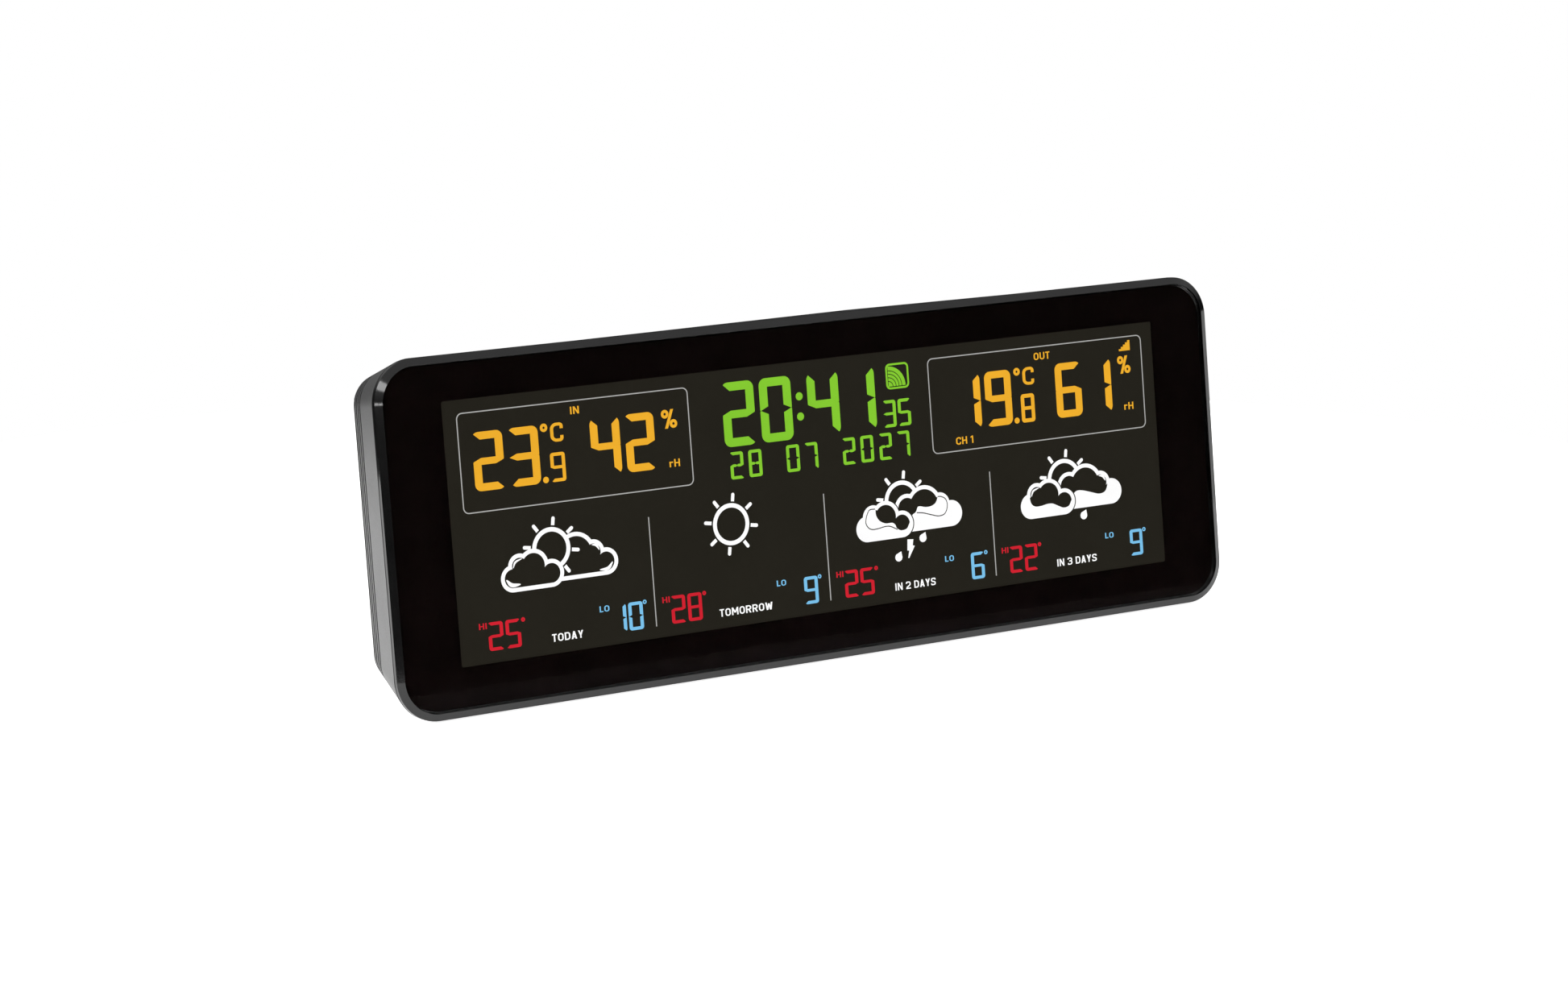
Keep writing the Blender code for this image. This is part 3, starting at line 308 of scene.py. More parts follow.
def area(*loops):
    """The inside of an outline, less any further outlines in it."""
    loops = [[(float(x), float(z)) for x, z in loop] for loop in loops]
    xs = [p[0] for loop in loops for p in loop]
    zs = [p[1] for loop in loops for p in loop]
    x0, x1, z0, z1 = min(xs), max(xs), min(zs), max(zs)

    def holds(p):
        if not (x0 <= p[0] <= x1 and z0 <= p[1] <= z1):
            return False
        return sum(in_loop(p, loop) for loop in loops) % 2 == 1

    return Area(loops, holds)


def union(areas):
    total = areas[0]
    for other in areas[1:]:
        total = total | other
    return total


def arc(x, z, radius, start, end, steps=10):
    angles = [math.radians(start + (end - start) * i / steps) for i in range(steps + 1)]
    return [(x + radius * math.cos(a), z + radius * math.sin(a)) for a in angles]


def circle(x, z, radius, steps=44):
    return arc(x, z, radius, 0, 360 - 360 / steps, steps - 1)


def box(x0, z0, x1, z1):
    return [(x0, z0), (x1, z0), (x1, z1), (x0, z1)]


def rounded(points, radius, closed=False, steps=5):
    """The line with its corners turned into arcs. Radius is one length or one for each point."""
    points = [Vector(p) for p in points]
    count = len(points)
    radii = [radius] * count if isinstance(radius, (int, float)) else radius
    made = []
    for i, point in enumerate(points):
        if (not closed and i in (0, count - 1)) or not radii[i]:
            made.append(point)
            continue
        back = points[i - 1] - point
        on = points[(i + 1) % count] - point
        half = (math.pi - back.angle(on)) / 2
        reach = min(radii[i] * math.tan(half), back.length * 0.49, on.length * 0.49)
        first, last = point + back.normalized() * reach, point + on.normalized() * reach
        weight = math.cos(half)
        for k in range(steps + 1):
            t = k / steps
            a, b, c = (1 - t) ** 2, 2 * weight * t * (1 - t), t * t
            made.append((first * a + point * b + last * c) / (a + b + c))
    return made


def beside(points, distance, closed):
    """The same line, moved sideways with mitred corners."""
    points = [Vector(p) for p in points]
    count = len(points)
    moved = []
    for i, point in enumerate(points):
        before = (point - points[i - 1]).normalized() if closed or i else None
        after = (points[(i + 1) % count] - point).normalized() if closed or i < count - 1 else None
        before = after if before is None else before
        after = before if after is None else after
        side_a, side_b = Vector((-before.y, before.x)), Vector((-after.y, after.x))
        middle = (side_a + side_b).normalized()
        moved.append(point + middle * distance / max(middle.dot(side_a), 0.4))
    return [tuple(p) for p in moved]


def stroke(points, width, closed=False):
    left, right = beside(points, width / 2, closed), beside(points, -width / 2, closed)
    return area(left, right) if closed else area(left + right[::-1])


def through(points, steps=6):
    """A smooth open line through the points."""
    points = [Vector(p) for p in points]
    ends = [2 * points[0] - points[1]] + points + [2 * points[-1] - points[-2]]
    made = []
    for a, b, c, d in zip(ends, ends[1:], ends[2:], ends[3:]):
        for k in range(steps):
            t = k / steps
            made.append(
                0.5 * (2 * b + (c - a) * t + (2 * a - 5 * b + 4 * c - d) * t * t
                       + (3 * b - a - 3 * c + d) * t * t * t)
            )
    return [tuple(p) for p in made] + [tuple(points[-1])]


def crescent(points, width):
    """A stroke that swells from a point to the full width and back."""
    line = through(points, 5)
    outer, inner = [], []
    for i, p in enumerate(line):
        ahead = Vector(line[min(i + 1, len(line) - 1)]) - Vector(line[max(i - 1, 0)])
        side = Vector((-ahead.y, ahead.x)).normalized() * width / 2
        swell = math.sin(math.pi * (0.08 + 0.84 * i / (len(line) - 1)))
        outer.append(tuple(Vector(p) + side * swell))
        inner.append(tuple(Vector(p) - side * swell))
    return area(outer + inner[::-1])


def shifted(shape, x, z, scale_x=1.0, scale_z=1.0):
    loops = [[(px * scale_x + x, pz * scale_z + z) for px, pz in loop] for loop in shape.loops]
    return Area(loops, lambda p: shape.holds(((p[0] - x) / scale_x, (p[1] - z) / scale_z)))


# Digits of seven bars. The free ends are cut at the slant at which the bars meet.
BARS = {
    "0": "abcdef", "1": "bc", "2": "abged", "3": "abgcd", "4": "fgbc",
    "5": "afgcd", "6": "afgedc", "7": "abc", "8": "abcdefg", "9": "abfgcd",
}


def digit(symbol, x, z, width, height, upright, level, split=False):
    """One digit with its lower left corner at x, z. split parts the middle bar in two."""
    middle, half, tip = height / 2, level * 0.45, upright * 0.06
    corner = upright * 0.8
    centre = (width - corner, height - corner)
    inner = (width - upright, height - level)
    cap = arc(*centre, corner, 90, 45, 3)
    shoulder = arc(*centre, corner, 45, 0, 3)
    joint = [(width, middle + tip * 1.5), (width - tip, middle), (width - upright, middle + half)]

    def flip(points, across, over):
        return [(width - px if across else px, height - pz if over else pz) for px, pz in points]

    top = flip(cap, True, False)[::-1] + cap + [inner, (upright, height - level)]
    side = shoulder + joint + [inner]
    parts = {
        "a": [top],
        "b": [side],
        "c": [flip(side, False, True)],
        "d": [flip(top, False, True)],
        "e": [flip(side, True, True)],
        "f": [flip(side, True, False)],
    }
    reach = [(upright, middle + half), (tip, middle), (upright, middle - half)]
    if split:
        stop = width / 2 - half * 1.2
        bar = reach + [(stop, middle - half), (width / 2, middle - half * 0.3)]
        bar += [(width / 2, middle + half * 0.3), (stop, middle + half)]
        parts["g"] = [bar, flip(bar, True, False)]
    else:
        parts["g"] = [reach + flip(reach, True, False)[::-1]]
    return shifted(union([area(loop) for name in BARS[symbol] for loop in parts[name]]), x, z)


# Plain condensed capitals, drawn with one pen.
PEN = 0.16
WIDE = {
    "I": 0.2, "M": 0.8, "W": 0.9, "A": 0.64, "Y": 0.62, "L": 0.47, "T": 0.55, "1": 0.34, "r": 0.42, " ": 0.2,
}
USUAL_WIDTH = 0.66
LETTER_GAP = 0.15


def letter(symbol):
    """The shape of a character of height 1, and its width."""
    width = WIDE.get(symbol, USUAL_WIDTH)
    half, slope = PEN / 2, PEN * 0.58
    left, right, low, high = half, width - half, half, 1 - half
    bend = width * 0.42

    def stem(x, z0=0.0, z1=1.0):
        return area(box(x - half, z0, x + half, z1))

    def bar(z, x0=0.0, x1=width):
        return area(box(x0, z - half, x1, z + half))

    def slant(x0, x1, z0=0.0, z1=1.0):
        return area([(x0 - slope, z0), (x0 + slope, z0), (x1 + slope, z1), (x1 - slope, z1)])

    def pen(points, closed=False, radius=bend):
        return stroke(rounded(points, radius, closed), PEN, closed)

    mid = width / 2
    shapes = {
        " ": lambda: [],
        "I": lambda: [stem(mid)],
        "L": lambda: [stem(left), bar(low)],
        "T": lambda: [bar(high), stem(mid)],
        "H": lambda: [stem(left), stem(right), bar(0.5)],
        "N": lambda: [stem(left), stem(right), slant(right, left)],
        "M": lambda: [stem(left), stem(right), slant(mid, left, 0.3), slant(mid, right, 0.3)],
        "W": lambda: [
            slant(0.27 * width, slope), slant(0.27 * width, mid, 0, 0.85),
            slant(0.73 * width, mid, 0, 0.85), slant(0.73 * width, width - slope),
        ],
        "A": lambda: [
            slant(slope, mid), slant(width - slope, mid), area(box(0.2 * width, 0.19, 0.8 * width, 0.35)),
        ],
        "Y": lambda: [slant(mid, slope, 0.4), slant(mid, width - slope, 0.4), stem(mid, 0, 0.45)],
        "O": lambda: [pen([(left, low), (right, low), (right, high), (left, high)], True)],
        "D": lambda: [
            pen([(left, low), (right, low), (right, high), (left, high)], True, [0, bend, bend, 0]),
        ],
        "C": lambda: [
            pen([(right, 0.68), (right, high), (left, high), (left, low), (right, low), (right, 0.32)]),
        ],
        "U": lambda: [pen([(left, 1), (left, low), (right, low), (right, 1)])],
        "S": lambda: [pen([(right, 0.73), (right, high), (left, high), (left, 0.56), (right, 0.44),
                           (right, low), (left, low), (left, 0.27)], radius=bend * 0.8)],
        "R": lambda: [stem(left), slant(width - slope, mid, 0, 0.5),
                      pen([(left, high), (right, high), (right, 0.46), (left, 0.46)], radius=bend * 0.8)],
        "1": lambda: [
            stem(width - half), area([(0, 0.72), (0, 0.88), (width - half, 1), (width - half, 0.84)]),
        ],
        "2": lambda: [pen([(left, 0.72), (left, high), (right, high), (right, 0.55), (left, low + 0.1)],
                          radius=bend * 0.8), bar(low)],
        "3": lambda: [pen([(left, 0.75), (left, high), (right, high), (right, 0.52), (width * 0.35, 0.52)],
                          radius=bend * 0.7),
                      pen([(width * 0.35, 0.52), (right, 0.52), (right, low), (left, low), (left, 0.25)],
                          radius=bend * 0.7)],
        "r": lambda: [
            stem(left, 0, 0.72), pen([(left, 0.35), (left, 0.62), (width, 0.62)], radius=bend * 0.5),
        ],
    }
    return shapes[symbol](), width


def words(text, x0, x1, z0, z1):
    """The characters of a short label, set between x0 and x1."""
    made, at = [], 0.0
    for symbol in text:
        shapes, width = letter(symbol)
        if shapes:
            made.append((union(shapes), at))
        at += width + LETTER_GAP
    scale = (x1 - x0) / (at - LETTER_GAP)
    return [shifted(shape, x0 + start * scale, z0, scale, z1 - z0) for shape, start in made]


def ring(x, z, radius, width):
    return area(circle(x, z, radius, 28), circle(x, z, radius - width, 28))


def percent(x0, x1, z0, z1):
    """A percent sign: two small loops and a slash."""
    loop_x, loop_z, pen = (x1 - x0) * 0.24, (z1 - z0) * 0.23, 0.7
    upper = shifted(ring(0, 0, 1, 0.68), x0 + loop_x, z1 - loop_z, loop_x, loop_z)
    lower = shifted(ring(0, 0, 1, 0.68), x1 - loop_x, z0 + loop_z, loop_x, loop_z)
    run = (x1 - x0) * 0.2
    slash = area([(x0 + run, z0), (x0 + run + pen, z0), (x1 - run, z1), (x1 - run - pen, z1)])
    return [upper, lower, slash]


# ---------------------------------------------------------------- weather icons, about the middle of the sun

PEN_WHITE = 0.86
SUN_RADIUS = 4.44
RAY_INNER, RAY_OUTER, RAY_WIDTH, RAY_TURN = 4.82, 6.62, 0.76, 81.5
FRONT_LOBES = ((-9.3, -5.05, 2.8), (-7.62, -2.7, 2.62), (-4.45, -3.02, 3.53), (-0.36, -4.95, 2.9))
BACK_LOBES = ((1.2, -1.75, 3.15), (5.62, -1.77, 4.56), (9.68, -1.85, 2.62), (12.55, -4.07, 2.84))
FRONT_BASE, BACK_BASE = -7.85, -6.91
LINE = 0.22


def cloud(lobes, base, inset=0.0):
    circles = [area(circle(x, z, r - inset)) for x, z, r in lobes]
    body = [(x, z) for x, z, r in lobes]
    first, last = body[0], body[-1]
    low = base + inset
    return union(circles + [area([(first[0], low), (last[0], low)] + body[::-1])])


def ray(angle):
    """A short bar pointing away from the sun, with a round far end."""
    half = RAY_WIDTH / 2
    points = [(RAY_INNER, -half), *arc(RAY_OUTER - half, 0, half, -90, 90, 8), (RAY_INNER, half)]
    a = math.radians(angle)
    return area([(x * math.cos(a) - z * math.sin(a), x * math.sin(a) + z * math.cos(a)) for x, z in points])


def rays(*numbers):
    """Rays by number, clockwise from the top one."""
    return union([ray(RAY_TURN - 45 * n) for n in numbers])


def drop(x, z, radius=0.9):
    """A rain drop whose tip leans to the right."""
    tip = (x + 0.72, z + 1.22)
    return area(arc(x, z, radius, 128, 373, 16) + [tip])


SUN = area(circle(0, 0, SUN_RADIUS, 60))
SUN_RING = area(circle(0, 0, SUN_RADIUS, 60), circle(0, 0, SUN_RADIUS - 0.92, 60))
FRONT = cloud(FRONT_LOBES, FRONT_BASE)
FRONT_ROOM = cloud(FRONT_LOBES, FRONT_BASE, -0.26)
FRONT_INNER = cloud(FRONT_LOBES, FRONT_BASE, PEN_WHITE)
BACK_FULL = cloud(BACK_LOBES, BACK_BASE)
BACK_FULL_INNER = cloud(BACK_LOBES, BACK_BASE, PEN_WHITE)
BACK = cloud(BACK_LOBES[1:], BACK_BASE) | area(box(0, BACK_BASE, 6, -3))
BACK_INNER = cloud(BACK_LOBES[1:], BACK_BASE, PEN_WHITE) | area(box(-1, BACK_BASE + PEN_WHITE, 6, -3))

FRONT_SHINE = crescent([(-9.12, -2.93), (-8.5, -1.75), (-6.96, -1.2)], 0.42)
FRONT_FOOT_SHINE = crescent([(-10.86, -5.18), (-9.7, -6.35), (-7.72, -6.4)], 0.85)
BACK_SHINE = crescent([(9.45, -0.3), (10.5, -0.55), (11.15, -1.53)], 0.5)
BACK_FOOT_SHINE = crescent([(10.95, -5.72), (12.9, -5.6), (14.06, -4.4)], 0.7)

# The lower edges of the hollows in the filled clouds, from left to right.
FRONT_WAVE = [(-9.75, -1.0), (-9.57, -3.29), (-9.15, -4.62), (-8.11, -5.25), (-6.54, -5.25),
              (-4.96, -5.02), (-3.56, -5.08), (-2.19, -5.68), (-0.68, -6.3), (0.76, -6.1), (1.43, -5.2),
              (1.9, -4.4)]
BACK_WAVE = [(1.9, -4.2), (2.6, -3.3), (3.6, -2.96), (5.26, -3.2), (7.43, -3.85), (9.28, -4.32),
             (10.9, -3.95), (11.66, -2.4), (11.35, -0.9), (10.3, -0.1)]
FRONT_CUFF = [(-6.75, -0.6), (-6.9, -1.05), (-6.85, -2.37), (-6.03, -3.64), (-4.53, -4.34),
              (-2.82, -4.41), (-2.09, -4.96), (-1.75, -5.7), (-0.68, -6.3), (0.76, -6.1), (1.43, -5.2),
              (1.9, -4.4)]
BACK_CUFF = [(1.9, -4.4), (2.5, -3.3), (3.42, -2.77), (4.14, -1.67), (6.0, -2.0), (7.58, -1.93),
             (8.74, -1.28), (9.31, -0.1), (9.5, 0.6)]


def below(line, left=-14.0, right=18.0, floor=-12.0):
    """What lies under a line that runs from left to right."""
    points = through(line, 4)
    return area(points + [(right, points[-1][1]), (right, floor), (left, floor), (left, points[0][1])])


def sunny():
    return SUN_RING | rays(*range(8))


def fair():
    front = (FRONT - FRONT_INNER) | (FRONT_SHINE | FRONT_FOOT_SHINE)
    back = (BACK - BACK_INNER) | (BACK_SHINE | BACK_FOOT_SHINE)
    return front | ((SUN_RING | rays(0, 1, 2, 3, 6, 7) | (back - SUN)) - FRONT)


def sun_behind():
    return ((SUN_RING | rays(0, 1, 6, 7)) - BACK_FULL) - FRONT


def rainy():
    front_hollow = FRONT_INNER - below(FRONT_WAVE)
    back_hollow = BACK_FULL_INNER - below(BACK_WAVE)
    front = (FRONT - front_hollow) | FRONT_SHINE
    back = ((BACK_FULL - back_hollow) | BACK_SHINE) - FRONT_ROOM
    return front | back | sun_behind()


def stormy():
    front_line = stroke(through([(-7.0, -0.95), (-8.61, -1.12), *FRONT_WAVE[1:8], (-1.6, -6.0)], 4), LINE)
    back_line = stroke(through([*BACK_WAVE[2:9], (10.25, -0.21), (9.31, -0.1)], 4), LINE)
    front = FRONT - (FRONT_INNER - below(FRONT_CUFF)) - front_line
    back = (BACK_FULL - (BACK_FULL_INNER - below(BACK_CUFF)) - back_line) - FRONT_ROOM
    return front | back | sun_behind()


BOLT = area([(0.76, -8.45), (2.25, -8.58), (1.99, -9.89), (2.51, -10.03), (0.89, -12.52),
             (0.65, -12.49), (1.03, -10.9), (0.56, -10.85)])

# ------------------------------------------------------------- what the display shows, in mm from its middle

VIEW_RISE = 0.34
PANEL_PITCH = 43.1
PANELS = -66.3
SUN_HEIGHT = -5.5

prints = {"green": [], "orange": [], "red": [], "blue": [], "white": [], "rule": []}


def number(group, text, x, z, width, height, upright, level, pitch, split=False):
    for i, symbol in enumerate(text):
        if symbol != " ":
            prints[group].append(digit(symbol, x + i * pitch, z, width, height, upright, level, split))


def dot(group, x, z, radius):
    prints[group].append(area(circle(x, z, radius, 24)))


# The clock and the date.
CLOCK = (7.85, 13.6, 2.0, 1.82)
for symbol, x in (("2", -23.27), ("0", -14.05), ("4", -2.15), ("1", 7.08)):
    number("green", symbol, x, 10.66, *CLOCK, 0)
dot("green", -4.2, 19.6, 0.86)
dot("green", -4.2, 15.3, 0.86)
number("green", "35", 16.7, 10.65, 3.25, 5.85, 0.76, 0.66, 3.8)
DATE = (3.25, 5.75, 0.74, 0.64)
for text, x in (("28", -22.35), ("07", -8.4), ("20", 5.75), ("27", 15.1)):
    number("green", text, x, 3.8, *DATE, 4.6 if text != "28" else 4.55, True)

# The radio sign beside the clock.
CORNER_X, CORNER_Z = 18.55, 19.38
WAVE_HALF = 0.09
frame_line = rounded(box(18.17, 18.97, 23.63, 24.1), 0.85, True)
prints["green"].append(stroke(frame_line, 0.42, True))
fan = area([(CORNER_X, CORNER_Z)] + arc(CORNER_X, CORNER_Z, 4.35, 0, 90, 16))
for radius in (1.12, 1.92, 2.68, 3.4):
    far_side = arc(CORNER_X, CORNER_Z, radius + WAVE_HALF, -5, 95, 14)
    near_side = arc(CORNER_X, CORNER_Z, radius - WAVE_HALF, 95, -5, 14)
    fan = fan - area(far_side + near_side)
prints["green"].append(fan)

# Indoors and outdoors.
BIG = (6.95, 12.05, 1.78, 1.56)
SMALL = (3.42, 6.0, 0.76, 0.68)
for side_text, x in (("23", -82.55), ("42", -55.25), ("19", 35.2), ("61", 62.3)):
    number("orange", side_text, x, 8.02, *BIG, 8.2)
number("orange", "9", -64.97, 8.02, *SMALL, 0)
number("orange", "8", 52.75, 8.02, 3.6, 6.25, 0.9, 0.84, 0)
dot("orange", -66.3, 8.66, 0.66)
dot("orange", 51.42, 8.66, 0.66)
for x in (-65.95, 52.1):
    prints["orange"].append(ring(x, 19.35, 0.86, 0.6))
for x0, x1 in ((-64.5, -61.5), (53.6, 56.65)):
    prints["orange"] += words("C", x0, x1, 16.2, 20.1)
for x0, x1 in ((-38.2, -34.45), (79.45, 83.0)):
    prints["orange"] += percent(x0, x1, 16.15, 20.1)
for x0 in (-37.0, 80.65):
    prints["orange"] += words("rH", x0, x0 + 2.5, 8.05, 9.65)
prints["orange"] += words("IN", -59.55, -57.45, 21.45, 23.0)
prints["orange"] += words("OUT", 56.95, 61.2, 21.4, 23.0)
prints["orange"] += words("CH 1", 35.0, 39.5, 5.05, 6.65)
STAIR_STEPS, STEP_LENGTH, STEP_HEIGHT = 5, 0.6, 0.45
STAIR_FOOT, STAIR_RIGHT, STAIR_TOP = 21.2, 83.15, 23.45
stair_left = STAIR_RIGHT - STAIR_STEPS * STEP_LENGTH
stair = [(stair_left, STAIR_FOOT), (STAIR_RIGHT, STAIR_FOOT), (STAIR_RIGHT, STAIR_TOP)]
for i in range(STAIR_STEPS):
    x, z = STAIR_RIGHT - STEP_LENGTH * (i + 1), STAIR_TOP - STEP_HEIGHT * i
    stair += [(x, z), (x, z - STEP_HEIGHT)]
prints["orange"].append(area(stair[:-1]))

# The four days.
DAY = (3.45, 5.85, 0.78, 0.66)
FORECAST = (
    ("TODAY", "25", "10", fair()),
    ("TOMORROW", "28", " 9", sunny()),
    ("IN 2 DAYS", "25", " 6", stormy()),
    ("IN 3 DAYS", "22", " 9", rainy()),
)
CAPTIONS = ((-67.7, -60.4), (-27.55, -14.5), (16.7, 27.2), (59.65, 70.45))
for day, (caption, high, low, icon) in enumerate(FORECAST):
    x = PANELS + day * PANEL_PITCH
    prints["white"].append(shifted(icon, x, SUN_HEIGHT))
    prints["white"] += words(caption, *CAPTIONS[day], -24.65, -23.05)
    number("red", high, x - 15.95, -24.62, *DAY, 4.02)
    number("blue", low, x + 12.9, -24.72, *DAY, 4.0)
    prints["red"] += words("HI", x - 17.95, x - 16.15, -20.0, -18.75)
    prints["blue"] += words("LO", x + 10.15, x + 12.45, -20.0, -18.75)
    prints["red"].append(ring(x - 7.78, -19.12, 0.46, 0.36))
    prints["blue"].append(ring(x + 20.9, -19.15, 0.46, 0.27))
prints["white"].append(shifted(BOLT, PANELS + 2 * PANEL_PITCH, SUN_HEIGHT))
for x, z in ((-1.77, -12.05), (4.78, -8.6)):
    prints["white"].append(shifted(drop(x, z), PANELS + 2 * PANEL_PITCH, SUN_HEIGHT))
prints["white"].append(shifted(drop(4.7, -8.65), PANELS + 3 * PANEL_PITCH, SUN_HEIGHT))

# Thin frames and dividers.
RULE = 0.22
for corners in (box(-85.6, 3.85, -31.55, 24.2), box(28.9, 3.7, 86.2, 24.3)):
    prints["rule"].append(stroke(rounded(corners, 1.2, True), RULE, True))
for x in (-42.97, 0.13, 43.2):
    prints["rule"].append(area(box(x - RULE / 2, -24.62, x + RULE / 2, -1.7)))

# How far behind the window's front each print starts and ends, in mm.
PRINT_DEPTHS = 1.6, 1.64
BORDER_DEPTHS = 1.23, 1.3
CDT_TOLERANCE, SLIVER = 1e-4, 1e-6


def add_solid(work, shape, depths):
    """Adds a thin plate of this outline to the mesh."""
    corners, edges = [], []
    for loop in shape.loops:
        first = len(corners)
        corners += [Vector(p) for p in loop]
        edges += [(first + i, first + (i + 1) % len(loop)) for i in range(len(loop))]
    points, _, faces, *_ = delaunay_2d_cdt(corners, edges, [], 0, CDT_TOLERANCE)
    kept = []
    for face in faces:
        a, b, c = (points[i] for i in face)
        if abs((b - a).cross(c - a)) > SLIVER and shape.holds(tuple((a + b + c) / 3)):
            kept.append(tuple(face))
    sides = {(f[i], f[(i + 1) % 3]) for f in kept for i in range(3)}
    used = {i for f in kept for i in f}
    front, back = (
        {i: work.verts.new(Vector((points[i].x, depth, points[i].y + VIEW_RISE)) * MM) for i in used}
        for depth in depths
    )
    for a, b, c in kept:
        work.faces.new((front[a], front[b], front[c]))
        work.faces.new((back[c], back[b], back[a]))
    for a, b in sides:
        if (b, a) not in sides:
            work.faces.new((front[b], front[a], back[a], back[b]))


PRINTED = {
    "green": ("lit_clock", tint(131, 200, 50)),
    "orange": ("lit_readings", tint(238, 174, 46)),
    "red": ("lit_high", tint(206, 34, 48)),
    "blue": ("lit_low", tint(122, 192, 233)),
    "white": ("lit_icons", tint(255, 255, 255)),
    "rule": ("lit_rules", tint(176, 176, 174)),
}


def printed(name, shapes, depths, material):
    """A piece of flat solids on the display face, which moves with the housing."""
    work = bmesh.new()
    for shape in shapes:
        add_solid(work, shape, depths)
    work.transform(DEVICE)
    bmesh.ops.recalc_face_normals(work, faces=work.faces)
    mesh = bpy.data.meshes.new(name)
    work.to_mesh(mesh)
    work.free()
    mesh.materials.append(material)
    piece = link(bpy.data.objects.new(name, mesh))
    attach(piece, "housing")
    return piece


for group, (name, colour) in PRINTED.items():
    printed(name, prints[group], PRINT_DEPTHS, glow("glow_" + group, colour))

BORDER_EDGE, BORDER_CORNER, VIEW_CORNER = 0.25, 7.2, 0.4
VIEW_HALF_WIDTH, VIEW_HALF_HEIGHT = 89.0, 27.05


def border():
    """The black print on the back of the window, from the view to the window's edge."""
    low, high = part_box("front_window")
    half_width = high.x / MM - BORDER_EDGE
    face_height = (high.z - low.z - WINDOW_THICKNESS * math.sin(LEAN)) / math.cos(LEAN)
    half_height = face_height / MM / 2 - BORDER_EDGE
    edge = box(-half_width, -half_height - VIEW_RISE, half_width, half_height - VIEW_RISE)
    view = box(-VIEW_HALF_WIDTH, -VIEW_HALF_HEIGHT, VIEW_HALF_WIDTH, VIEW_HALF_HEIGHT)
    return area(rounded(edge, BORDER_CORNER, True, 10), rounded(view, VIEW_CORNER, True, 3))


window_print = printed("window_print", [border()], BORDER_DEPTHS, FINISH["black_ink"])
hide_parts("window_mask")

# ---------------------------------------------------------------- floor, light and camera


FLOOR_RADIUS, FLOOR_GLOW = 0.3, 0.85
FLOOR_SIDES = 96
SKY_STRENGTH = 0.72
SKY_DARK_AT, SKY_DARK, SKY_FULL_AT = 0.1, 0.012, 0.45
LENS, SENSOR = 94.15, 36
CAMERA_PLACE = (-460.6, -735.4, 85.5)
CAMERA_RIGHT, CAMERA_FORWARD = (0.8471, -0.5266, -0.0711), (0.5194, 0.8488, -0.0987)


def floor():
    """A plain pale table top that glows a little, so that no shadow shows on it."""
    mesh = bpy.data.meshes.new("table_top")
    work = bmesh.new()
    bmesh.ops.create_circle(work, cap_ends=True, radius=FLOOR_RADIUS, segments=FLOOR_SIDES)
    work.to_mesh(mesh)
    work.free()
    white = surface("table_white", grey(0.86), grey(0.88), (0.7, 0.8), 3, 40)
    principled = white.node_tree.nodes["Principled BSDF"]
    principled.inputs["Emission Color"].default_value = grey(1.0)
    principled.inputs["Emission Strength"].default_value = FLOOR_GLOW
    mesh.materials.append(white)
    top = link(bpy.data.objects.new("table_top", mesh))


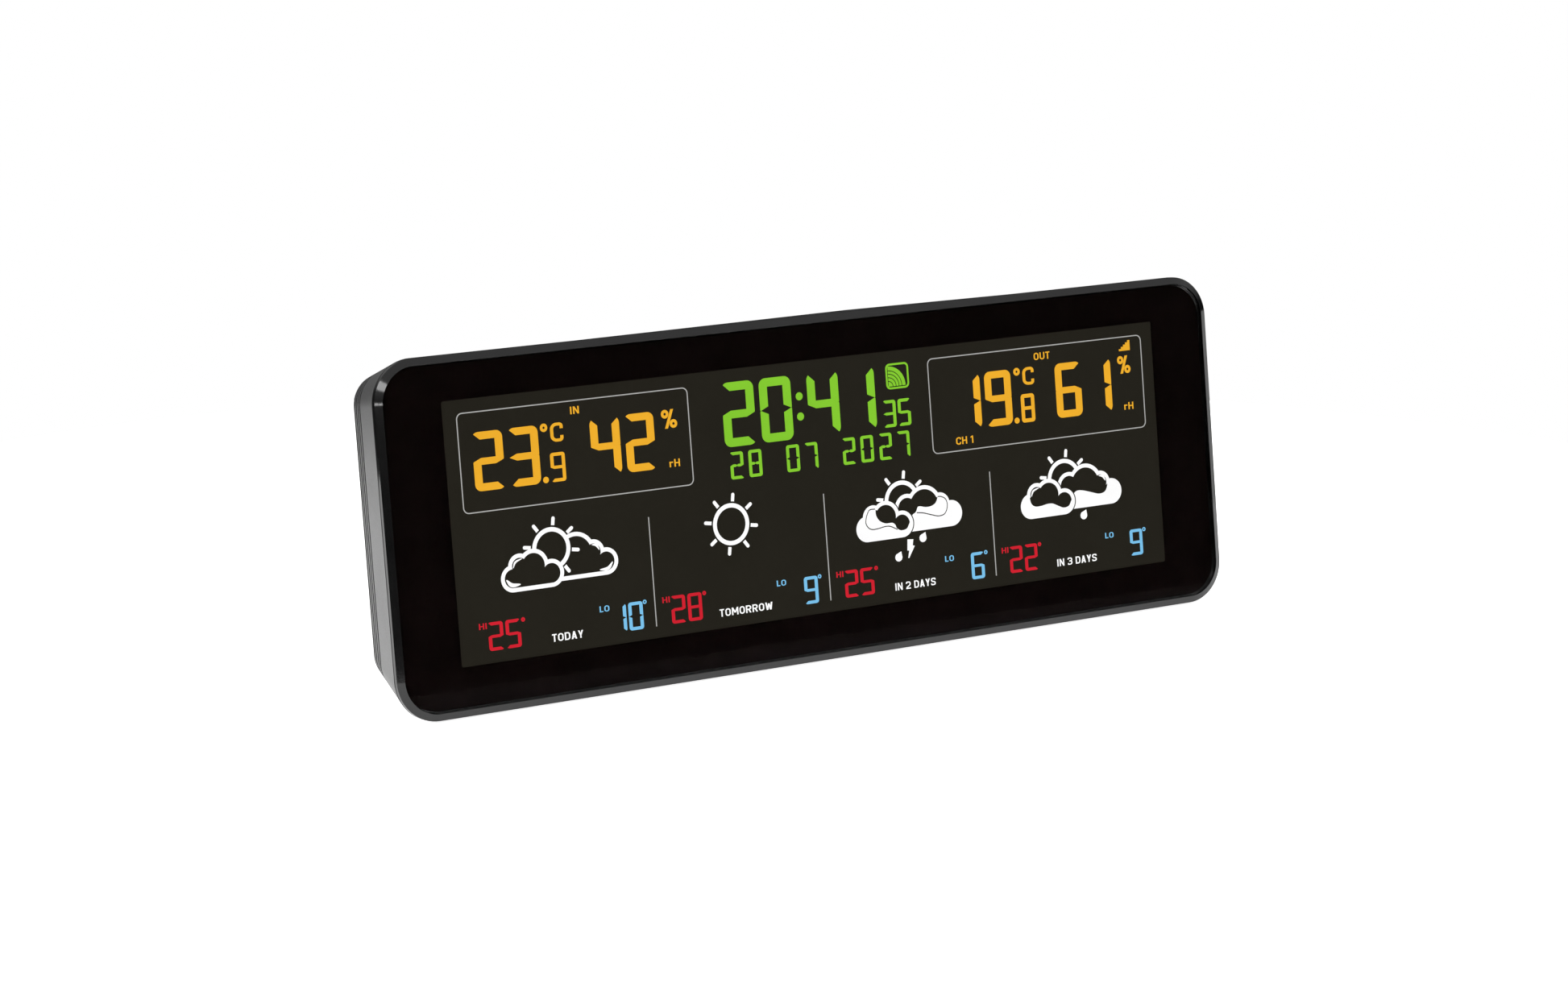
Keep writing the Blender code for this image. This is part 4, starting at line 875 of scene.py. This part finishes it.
def sky():
    """Soft studio light that fades out towards the horizon, and the white backdrop that the camera sees."""
    world = bpy.data.worlds.new("studio")
    bpy.context.scene.world = world
    world.use_nodes = True
    tree = world.node_tree
    place = tree.nodes.new("ShaderNodeTexCoord")
    split = tree.nodes.new("ShaderNodeSeparateXYZ")
    shade = tree.nodes.new("ShaderNodeValToRGB")
    background = tree.nodes["Background"]
    stops = shade.color_ramp.elements
    stops[0].position, stops[0].color = SKY_DARK_AT, grey(SKY_DARK)
    stops[1].position, stops[1].color = SKY_FULL_AT, grey(1.0)
    tree.links.new(place.outputs["Generated"], split.inputs["Vector"])
    tree.links.new(split.outputs["Z"], shade.inputs["Fac"])
    tree.links.new(shade.outputs["Color"], background.inputs["Color"])
    background.inputs["Strength"].default_value = SKY_STRENGTH
    backdrop = tree.nodes.new("ShaderNodeBackground")
    seen = tree.nodes.new("ShaderNodeLightPath")
    mix = tree.nodes.new("ShaderNodeMixShader")
    backdrop.inputs["Color"].default_value = grey(1.0)
    tree.links.new(seen.outputs["Is Camera Ray"], mix.inputs["Fac"])
    tree.links.new(background.outputs["Background"], mix.inputs[1])
    tree.links.new(backdrop.outputs["Background"], mix.inputs[2])
    tree.links.new(mix.outputs["Shader"], tree.nodes["World Output"].inputs["Surface"])


def lamp(name, place, target, size, power):
    """A soft panel that faces its target."""
    data = bpy.data.lights.new(name, "AREA")
    data.shape = "RECTANGLE"
    data.size, data.size_y = size
    data.energy = power
    obj = link(bpy.data.objects.new(name, data))
    obj.location = place
    obj.rotation_mode = "QUATERNION"
    obj.rotation_quaternion = (Vector(target) - Vector(place)).to_track_quat("-Z", "Y")


def camera():
    """The photograph's viewpoint, given from the middle of the window."""
    data = bpy.data.cameras.new("camera")
    data.lens = LENS
    data.sensor_width = SENSOR
    data.clip_start, data.clip_end = 0.02, 50
    obj = link(bpy.data.objects.new("camera", data))
    right = Vector(CAMERA_RIGHT).normalized()
    forward = Vector(CAMERA_FORWARD)
    forward = (forward - right * forward.dot(right)).normalized()
    up = right.cross(forward)
    turn = Matrix((right, up, -forward)).transposed().to_4x4()
    place = Matrix.Translation(Vector(CAMERA_PLACE) * MM)
    obj.matrix_world = DEVICE @ place @ turn
    bpy.context.scene.camera = obj


floor()
sky()
lamp("left_panel", (-1.1, 0.15, 0.75), (0, 0, 0.03), (0.7, 0.7), 9)
lamp("corner_panel", (-0.46, -1.36, 0.81), (-0.1, 0, 0.06), (0.5, 0.3), 3.6)
lamp("front_strip", (-0.67, -1.48, 0.25), (-0.1, 0, 0.06), (0.5, 0.045), 0.7)
lamp("right_panel", (1.2, -0.1, -0.06), (0.1, 0, 0.03), (0.3, 0.2), 0.2)
camera()
bpy.context.scene.view_settings.view_transform = "Standard"

bpy.context.view_layer.update()
